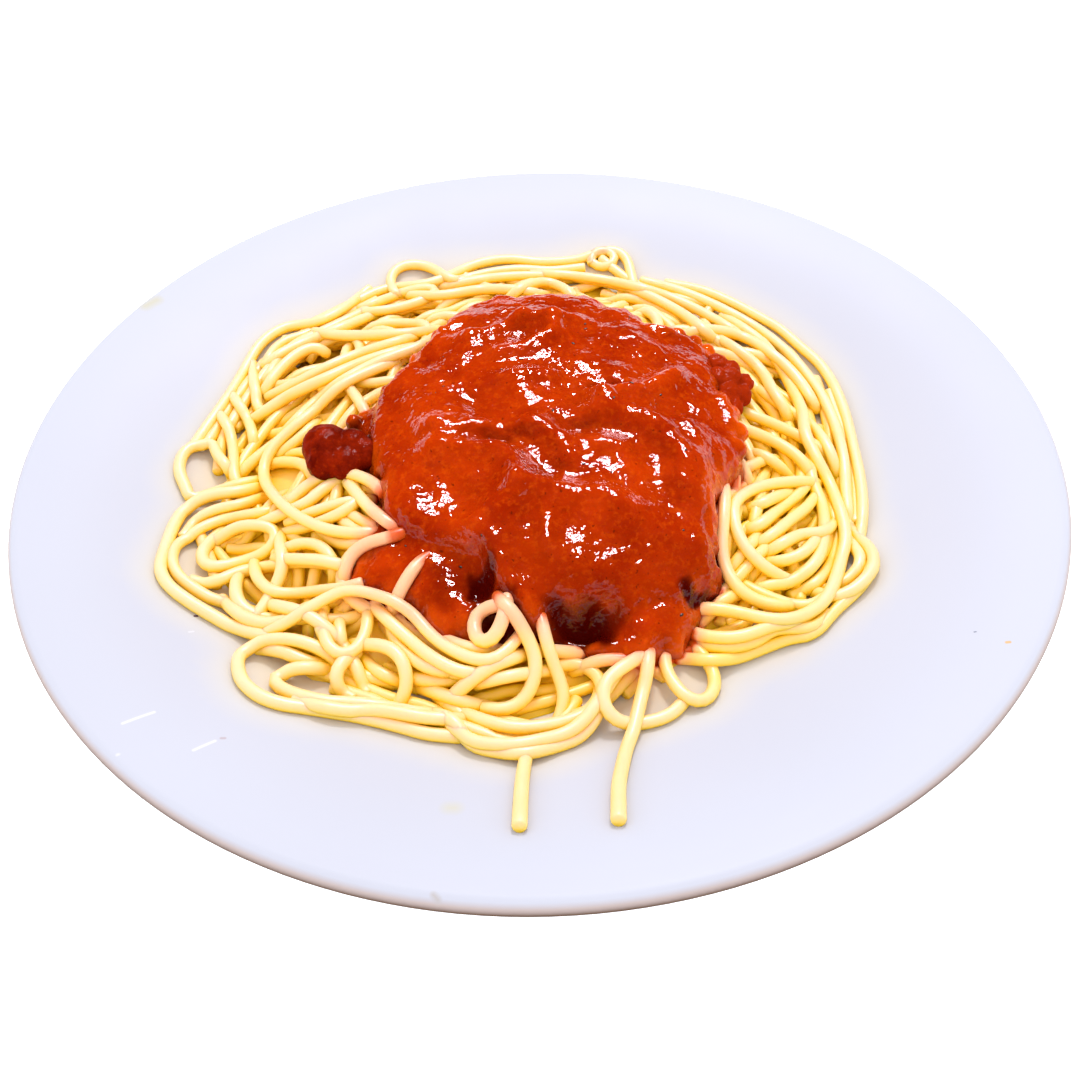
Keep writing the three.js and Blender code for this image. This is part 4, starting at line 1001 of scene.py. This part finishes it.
def addStain(thing):    # sauce that has run onto the noodles: more near the sauce and low down
    spots = readPoints(thing)
    x, y, z = spots.T
    depth = mapValue(sauceDepth, x, y)
    patch = 0.5 + 0.5 * waves(x, y, 14, 21)
    sunk = np.clip((heapTop(x, y) + 1 - z) / stain["sunkDepth"], 0, 1)
    reach = stain["reach"] + stain["patchy"] * patch + stain["deeper"] * sunk
    near = stain["strength"] * np.exp(-(np.maximum(0, -depth) / reach) ** stain["fall"])
    touching = np.clip(1 - (z - mapValue(sauceLevel, x, y)) / stain["touch"], 0, 1) * (depth > -1)
    coat = np.empty(len(spots))
    thing.data.attributes["coat"].data.foreach_get("value", coat)
    addAttribute(thing, "stain", np.clip(np.maximum(np.maximum(near, touching), coat), 0, 1))
    # the sunk value is painted shade: deeper gold on low strands and on the sides away from the light
    sideShade = np.zeros(len(spots))
    for strength, right, rightReach, front, frontReach in shadedSides:
        sideways = np.clip((x - right) / rightReach, 0, 1)
        sideShade += strength * sideways * np.clip((front - y) / frontReach, 0, 1)
    addAttribute(thing, "sunk", np.clip((heapTop(x, y) - 1 - z) / stain["sunkDepth"] + sideShade, 0, 1))


# side, underside and deep are painted shade; plain and pale are the pasta's own tones, stained and soaked
# its sauce
pastaColours = {
    "plain": (1.0, 0.58, 0.31), "pale": (1.0, 0.615, 0.375), "side": (1.0, 0.695, 0.175),
    "undersideShade": (1.0, 0.52, 0.01), "deep": (1.0, 0.64, 0.012), "stained": (1.0, 0.44, 0.28),
    "soaked": (0.66, 0.085, 0.006),
}


def pasta():
    material, tree, shader = newMaterial("cooked pasta")
    spots = objectSpots(tree)
    tone, stained = attributeAt(tree, "tone"), attributeAt(tree, "stain")
    mottle = remap(tree, noiseAt(tree, spots, 160.0, 3.0), 0.3, 0.7)
    blend = calculate(tree, "ADD", calculate(tree, "MULTIPLY", tone, 0.5),
                      calculate(tree, "MULTIPLY", mottle, 0.5))
    plain = blendColours(tree, blend, pastaColours["plain"], pastaColours["pale"])
    facing = facingUp(tree)
    # painted shade: golden as the strand's side turns from the top, deeper gold on the underside
    sides = blendColours(tree, remap(tree, facing, 0.92, 0.10), plain, pastaColours["side"])
    shaded = blendColours(tree, remap(tree, facing, 0.20, -0.45), sides, pastaColours["undersideShade"])
    # painted shade: deep gold where the AO node finds close surfaces and on sunk strands
    occlusion = addNode(tree, "AmbientOcclusion", {"Distance": 0.006}, samples=4)
    crowded = calculate(tree, "ADD", remap(tree, occlusion.outputs["AO"], 0.62, 0.12),
                        calculate(tree, "MULTIPLY", attributeAt(tree, "sunk"), 0.45))
    deep = blendColours(tree, calculate(tree, "MINIMUM", crowded, 1.0), shaded, pastaColours["deep"])
    pink = blendColours(tree, remap(tree, stained, 0.1, 0.75, 0.0, 0.75), deep, pastaColours["stained"])
    red = blendColours(tree, remap(tree, stained, 0.72, 1.0), pink, pastaColours["soaked"])
    wire(tree, red, shader.inputs["Base Color"])
    letLightIn(shader, 0.35, (1.0, 0.9, 0.4), 0.0015)
    varyRoughness(tree, shader, noiseAt(tree, spots, 300.0, 2.0), 0.3, 0.30, 0.42)
    shader.inputs["IOR"].default_value = 1.4
    shader.inputs["Specular IOR Level"].default_value = 0.3
    addBump(tree, shader, noiseAt(tree, spots, 900.0, 2.0), 0.12, 0.0003)
    return material


def makeHeapCore():    # the hidden middle of the heap, under the noodles
    startClean()
    bpy.ops.mesh.primitive_circle_add(vertices=heapMiddle["sides"], radius=heapMiddle["radius"] * mm,
                                      fill_type="NGON")
    core = bpy.context.object
    startEdit()
    bpy.ops.mesh.extrude_region_move(TRANSFORM_OT_translate={"value": (0, 0, heapMiddle["thick"] * mm)})
    for _ in range(heapMiddle["rings"]):
        bpy.ops.mesh.inset(thickness=heapMiddle["ringWidth"] * mm, depth=0)
    endEdit()
    faceOutwards(core)
    spots = readPoints(core)
    angle = np.arctan2(spots[:, 1], spots[:, 0])
    edge = np.arctan2(heapEdge[:, 1], heapEdge[:, 0] - heap["x"])
    order = np.argsort(edge)
    reach = np.interp(angle, edge[order], np.hypot(heapEdge[:, 0] - heap["x"], heapEdge[:, 1])[order],
                      period=2 * math.pi)
    share = np.hypot(spots[:, 0], spots[:, 1]) / heapMiddle["radius"]
    r = share * (reach - heapMiddle["margin"])
    x, y = heap["x"] + r * np.cos(angle), r * np.sin(angle)
    floor = plateTop(np.hypot(x, y))
    top = np.maximum(floor + 0.3, mapValue(coreLevel, x, y) - 0.4)
    top = np.where(share > 0.97, floor + 0.2, top)
    z = np.where(spots[:, 2] > heapMiddle["thick"] / 2, top, floor + 0.04)
    writePoints(core, np.column_stack([x, y, z]))
    core.name = "heap_middle"
    # the hidden core takes the full painted shade of the gaps
    for attribute, value in (("tone", 0.3), ("stain", 0.0), ("sunk", 1.0)):
        addAttribute(core, attribute, np.full(len(spots), value))
    return core


pastaFinish = pasta()
core = makeHeapCore()
clothe(core, pastaFinish, "noodles")
for lines, layer in ((laidUnder, "under"), (laidOver, "over")):
    strands = tubeMesh(lines, "noodles_" + layer, noodle[layer + "Sides"], noodle[layer + "Step"])
    addStain(strands)
    clothe(strands, pastaFinish, "noodles")
    print(strands.name, "faces", len(strands.data.polygons))
print("noodles ready")


# sauce
def cutAway(thing, unwanted):    # deletes the marked points and the faces on them
    pick(thing)
    startEdit()
    bpy.ops.mesh.select_mode(type="VERT")
    bpy.ops.mesh.select_all(action="DESELECT")
    endEdit()
    for vertex, away in zip(thing.data.vertices, unwanted):
        vertex.select = bool(away)
    bpy.ops.object.mode_set(mode="EDIT")
    bpy.ops.mesh.delete(type="VERT")
    endEdit()


def sauceSheet():    # the top of the sauce, cut along its outline
    low, high = sauceOutline.min(0) - 2, sauceOutline.max(0) + 2
    middle, size = (low + high) / 2, high - low
    counts = (size / sauce["cell"]).astype(int)
    startClean()
    bpy.ops.mesh.primitive_grid_add(x_subdivisions=int(counts[0]), y_subdivisions=int(counts[1]), size=1)
    slab = bpy.context.object
    spots = readPoints(slab) * mm
    spots[:, :2] = middle + spots[:, :2] * size
    x, y = spots[:, 0], spots[:, 1]
    depth = mapValue(sauceDepth, x, y) + sauce["wavyEdge"] * waves(x, y, 5, 31)
    spare = 1.1 * sauce["cell"]    # cells this little outside are drawn in onto the outline
    outside = np.where((depth < 0) & (depth > -spare), -depth, 0)
    slopeY, slopeX = np.gradient(sauceDepth, mapGrid["cell"])
    spots[:, 0] += mapValue(slopeX, x, y) * outside
    spots[:, 1] += mapValue(slopeY, x, y) * outside
    covering = np.where(depth > sauce["filmFrom"], mapValue(bareMap, x, y) + sauce["film"], 0)
    level = np.maximum(sauceTop(x, y, np.maximum(depth, 0)), covering)
    spots[:, 2] = np.where(depth > 0, level, mapValue(sauceFoot, x, y) - 0.3)
    writePoints(slab, spots)
    cutAway(slab, depth < -spare)
    return slab


def makeSauce():
    slab = sauceSheet()
    startEdit()
    bpy.ops.mesh.extrude_region_move(TRANSFORM_OT_translate={"value": (0, 0, -sauce["skirt"] * mm)})
    endEdit()
    spots = readPoints(slab)
    lower = np.array([v.select for v in slab.data.vertices])
    x, y = spots[:, 0], spots[:, 1]
    under = np.minimum(mapValue(sauceFoot, x, y) - sauce["lip"], spots[:, 2] + sauce["skirt"] - 2.0)
    spots[:, 2] = np.where(lower, under, spots[:, 2])
    writePoints(slab, spots)
    faceOutwards(slab)
    slab.name = "sauce_pool"
    return slab


sauceKnobs = [    # lumps under the sauce along its edge: middle, height over the heap, radius
    (31.0, 36.5, 2.5, 2.3), (34.0, 34.5, 3.0, 2.5), (38.5, 35.5, 2.0, 2.6), (42.5, 33.5, 1.5, 2.4),
    (45.5, 29.5, 1.5, 2.6), (48.5, 26.0, 1.0, 2.4), (24.0, 44.0, 2.0, 2.4), (13.0, 51.5, 1.5, 2.2),
    (48.0, 3.0, 1.0, 2.8), (49.0, -3.0, 0.5, 3.0), (47.5, -9.0, 0.5, 3.2), (45.5, -14.5, 0.5, 2.6),
    (-37.0, 13.0, 0.5, 2.2), (-45.0, 3.0, 0.5, 2.2), (-30.0, 24.0, 1.5, 2.4), (-25.0, 34.5, 2.0, 2.2),
]


def addKnobs(slab):
    blobs = [slab]
    for x, y, over, radius in sauceKnobs:
        startClean()
        level = float(heapTop(x, y)) + over
        bpy.ops.mesh.primitive_ico_sphere_add(subdivisions=2, radius=radius * mm,
                                              location=(x * mm, y * mm, level * mm))
        settle(bpy.context.object)
        blobs.append(bpy.context.object)
    return joinAll(blobs, slab.name)


def fuse(thing, voxel, rounds):    # one skin over all the parts, with its steps smoothed
    useModifier(thing, "REMESH", mode="VOXEL", voxel_size=voxel * mm)
    useModifier(thing, "SMOOTH", factor=0.5, iterations=rounds)


def roughen(thing, name, size, strength):    # soft random lumps of one size
    texture = bpy.data.textures.new(name, "CLOUDS")
    texture.noise_scale = size * mm
    texture.noise_depth = 2
    texture.noise_basis = "BLENDER_ORIGINAL"
    useModifier(thing, "DISPLACE", texture=texture, texture_coords="LOCAL", strength=strength * mm,
                mid_level=0.5)


sauceColours = {
    "deep": (0.29, 0.012, 0.0003), "plain": (0.48, 0.034, 0.0006), "pulp": (0.70, 0.085, 0.0015),
    "fleck": (0.10, 0.008, 0.001), "thin": (0.74, 0.10, 0.002), "shade": (0.055, 0.0008, 0.0002),
}


def meatSauce():
    material, tree, shader = newMaterial("meat sauce")
    spots = objectSpots(tree)
    broad = remap(tree, noiseAt(tree, spots, 70.0, 3.0, 0.6), 0.3, 0.7)
    pulp = noiseAt(tree, spots, 650.0, 3.0, 0.65)
    base = blendColours(tree, broad, sauceColours["deep"], sauceColours["plain"])
    light = blendColours(tree, remap(tree, pulp, 0.5, 0.8, 0.0, 0.5), base, sauceColours["pulp"])
    dark = remap(tree, noiseAt(tree, spots, 1100.0, 1.0), 0.70, 0.76, 0.0, 0.7)
    speckled = blendColours(tree, dark, light, sauceColours["fleck"])
    thin = attributeAt(tree, "thin")
    orange = blendColours(tree, remap(tree, thin, 0.1, 0.9, 0.0, 0.75), speckled, sauceColours["thin"])
    # painted shade in folds: darker where the AO node finds close surfaces, less where the sauce is thin
    occlusion = addNode(tree, "AmbientOcclusion", {"Distance": 0.009}, samples=4)
    foldShade = calculate(tree, "MULTIPLY", remap(tree, occlusion.outputs["AO"], 0.85, 0.35),
                      remap(tree, thin, 0.2, 0.9, 1.0, 0.25))
    shade = calculate(tree, "MAXIMUM", foldShade, attributeAt(tree, "shade"))
    wire(tree, blendColours(tree, shade, orange, sauceColours["shade"]), shader.inputs["Base Color"])
    letLightIn(shader, 0.08, (1.0, 0.2, 0.05), 0.002)
    varyRoughness(tree, shader, noiseAt(tree, spots, 240.0, 3.0), 0.35, 0.04, 0.10)
    shader.inputs["IOR"].default_value = 1.42
    coarse = addBump(tree, shader, noiseAt(tree, spots, 330.0, 2.0, 0.5), 0.5, 0.0008)
    addBump(tree, shader, noiseAt(tree, spots, 950.0, 1.0, 0.5), 0.5, 0.00030, coarse)
    return material


sauceShade = [    # strength, half width, half depth and middle of the dark places under the brow
    (1.0, 8.6, 4.0, (8.7, -58.4)), (1.0, 3.8, 3.2, (-13.3, -50.5)), (1.0, 4.4, 1.9, (33.5, -51.0)),
    (1.0, 5.0, 5.5, (-9.5, -59.0)), (0.45, 8.0, 5.5, (-17.5, -49.0)), (0.22, 26.0, 8.0, (14.0, -49.0)),
]


def shadeSauce(thing):
    x, y, _ = readPoints(thing).T
    depth = mapValue(sauceDepth, x, y)
    addAttribute(thing, "thin", np.clip(1 - depth / 6, 0, 1) * (0.6 + 0.4 * waves(x, y, 12, 41)))
    dark = np.zeros(len(x))
    for strength, halfWidth, halfDepth, (mx, my) in sauceShade:
        across = (x - mx + 0.9 * waves(x, y, 6, 51)) / halfWidth
        along = (y - my + 0.9 * waves(x, y, 5, 52)) / halfDepth
        dark = np.maximum(dark, strength * np.exp(-across ** 6 - along ** 6))
    addAttribute(thing, "shade", dark)


pool = addKnobs(makeSauce())
fuse(pool, sauce["voxel"], 5)
roughen(pool, "sauce lumps", *sauce["lumps"])
roughen(pool, "sauce pulp", *sauce["pulp"])
shadeSauce(pool)
clothe(pool, meatSauce(), "sauce")
print("sauce ready, faces", len(pool.data.polygons))


# lumps of meat
lumps = {    # blobs: the middle of each, its half width and its half height
    "meat_lump": {"voxel": 0.45, "crags": 0.6, "grain": 0.25,
                  "blobs": [(-50.6, -6.4, 24.0, 5.9, 5.5), (-50.2, -10.0, 22.8, 5.2, 4.6),
                            (-44.2, -6.4, 24.2, 4.2, 4.2), (-41.2, -8.6, 23.4, 4.0, 4.0),
                            (-45.6, -10.8, 22.8, 4.8, 4.2)]},
    "mince_clump": {"voxel": 0.4, "crags": 1.1, "grain": 0.35,
                    "blobs": [(47.0, 22.0, 22.6, 3.0, 2.8), (50.4, 20.6, 21.8, 2.7, 2.6),
                              (53.4, 16.6, 20.6, 2.7, 2.6), (49.8, 16.4, 22.4, 3.2, 3.2),
                              (52.4, 12.4, 20.2, 2.7, 2.6), (49.0, 11.5, 21.4, 3.3, 3.1),
                              (50.0, 8.0, 20.0, 2.5, 2.5), (46.6, 16.0, 22.8, 3.2, 3.0),
                              (47.0, 8.6, 21.2, 2.8, 2.8)]},
}


def makeLump(name):
    blobs = []
    for x, y, z, wide, tall in lumps[name]["blobs"]:
        startClean()
        bpy.ops.mesh.primitive_ico_sphere_add(subdivisions=3, radius=1, location=(x * mm, y * mm, z * mm),
                                              scale=(wide * mm, wide * mm, tall * mm))
        settle(bpy.context.object)
        blobs.append(bpy.context.object)
    lump = joinAll(blobs, name + "_cooked")
    fuse(lump, lumps[name]["voxel"], 4)
    roughen(lump, name + " crags", 2.6, lumps[name]["crags"])
    roughen(lump, name + " grain", 0.9, lumps[name]["grain"])
    return lump


meatColours = {
    "dark": (0.10, 0.0030, 0.0004), "brown": (0.27, 0.013, 0.0008), "sauced": (0.42, 0.028, 0.0015),
    "fleck": (0.45, 0.04, 0.001),
}


def cookedMeat():
    material, tree, shader = newMaterial("cooked meat")
    spots = objectSpots(tree)
    broad = remap(tree, noiseAt(tree, spots, 190.0, 4.0, 0.65), 0.35, 0.68)
    brown = blendColours(tree, broad, meatColours["dark"], meatColours["brown"])
    across = splitVector(tree, spots)["X"]
    coated = remap(tree, across, -5 * mm, 5 * mm, 0.0, 0.6)    # the right clump is sauced over
    brown = blendColours(tree, coated, brown, meatColours["sauced"])
    fleck = remap(tree, noiseAt(tree, spots, 800.0, 2.0), 0.58, 0.8, 0.0, 0.4)
    wire(tree, blendColours(tree, fleck, brown, meatColours["fleck"]), shader.inputs["Base Color"])
    varyRoughness(tree, shader, noiseAt(tree, spots, 300.0, 2.0), 0.3, 0.14, 0.26)
    shader.inputs["IOR"].default_value = 1.4
    shader.inputs["Specular IOR Level"].default_value = 0.03
    coarse = addBump(tree, shader, noiseAt(tree, spots, 420.0, 3.0, 0.6), 0.5, 0.0008)
    addBump(tree, shader, noiseAt(tree, spots, 1300.0, 2.0), 0.3, 0.0004, coarse)
    return material


meatFinish = cookedMeat()
for name in lumps:
    clothe(makeLump(name), meatFinish, name)
print("lumps ready")


# herbs and grains in the sauce
specks = {
    "count": 34, "tries": 400, "seed": 9, "smallest": 0.16, "largest": 0.36, "longest": 2.2, "flat": 0.45,
    "inset": 3, "sides": (-42, 50), "ends": (-66, 54),
}


def makeSpecks():
    rng = np.random.default_rng(specks["seed"])
    tree = BVHTree.FromObject(pool, bpy.context.evaluated_depsgraph_get())
    made = []
    startClean()
    bpy.ops.mesh.primitive_ico_sphere_add(subdivisions=1, radius=1)
    model = bpy.context.object
    for _ in range(specks["tries"]):
        if len(made) == specks["count"]:
            break
        x, y = rng.uniform(*specks["sides"]), rng.uniform(*specks["ends"])
        if mapValue(sauceDepth, x, y) < specks["inset"]:
            continue
        spot, normal, _, _ = tree.ray_cast(Vector((x * mm, y * mm, 0.1)), Vector((0, 0, -1)))
        if spot is None:
            continue
        bit = model.copy()
        bit.data = model.data.copy()
        bpy.context.scene.collection.objects.link(bit)
        size = rng.uniform(specks["smallest"], specks["largest"]) * mm
        bit.scale = (size * rng.uniform(1, specks["longest"]), size, size * specks["flat"])
        bit.rotation_euler = normal.to_track_quat("Z", "Y").to_euler()
        bit.location = spot
        bpy.context.view_layer.update()
        bit.data.transform(bit.matrix_world)
        bit.matrix_world = Matrix.Identity(4)
        made.append(bit)
    bpy.data.objects.remove(model)
    return joinAll(made, "herb_specks")


def driedHerb():
    material, tree, shader = newMaterial("dried herb")
    spots = objectSpots(tree)
    mix = remap(tree, noiseAt(tree, spots, 500.0, 2.0), 0.35, 0.65)
    colour = blendColours(tree, mix, (0.03, 0.006, 0.002), (0.09, 0.02, 0.004))
    wire(tree, colour, shader.inputs["Base Color"])
    shader.inputs["Roughness"].default_value = 0.5
    return material


herbs = makeSpecks()
clothe(herbs, driedHerb(), "sauce")
print("herbs ready")


# floor and light
stage = {"floor": 6.0, "drop": 0.2, "glow": 0.7, "world": 1.35}
lamps = {    # place in metres, size, power, colour, whether it lights and whether it shines
    "key_light": ((0.10, 0.50, 0.95), 0.24, 5.0, (1.0, 0.98, 0.96), True, False),
    "window_light": ((0.10, 0.50, 0.95), 0.42, 35.0, (1.0, 0.93, 1.0), False, True),
    "fill_light": ((-0.5, -0.9, 0.7), 1.2, 1.0, (0.96, 0.98, 1.0), True, False),
}


def makeStage():
    startClean()
    bpy.ops.mesh.primitive_plane_add(size=stage["floor"], location=(0, 0, -stage["drop"] * mm))
    floor = bpy.context.object
    floor.name = "table"
    material, _, shader = newMaterial("pale table")
    shader.inputs["Base Color"].default_value = (0.95, 0.95, 0.95, 1)
    shader.inputs["Roughness"].default_value = 0.8
    shader.inputs["Specular IOR Level"].default_value = 0.0
    shader.inputs["Emission Color"].default_value = (1, 1, 1, 1)
    shader.inputs["Emission Strength"].default_value = stage["glow"]
    floor.data.materials.append(material)


def addLamp(name, place, size, power, colour, lights, shines):
    startClean()
    bpy.ops.object.light_add(type="AREA", location=place)
    lamp = bpy.context.object
    lamp.name = name
    lamp.data.shape = "DISK"
    lamp.data.size = size
    lamp.data.energy = power
    lamp.data.color = colour
    lamp.visible_diffuse = lights
    lamp.visible_glossy = shines
    lamp.rotation_euler = (-Vector(place)).to_track_quat("-Z", "Y").to_euler()    # aimed at the plate


def makeLights():
    world = bpy.data.worlds.new("soft room")
    bpy.context.scene.world = world
    world.use_nodes = True
    background = world.node_tree.nodes["Background"]
    background.inputs["Color"].default_value = (1, 1, 1, 1)
    background.inputs["Strength"].default_value = stage["world"]
    world.cycles_visibility.glossy = False    # only the window light shows as highlights
    for name, values in lamps.items():
        addLamp(name, *values)
    bpy.context.scene.view_settings.view_transform = "Standard"


makeStage()
makeLights()
print("stage ready")
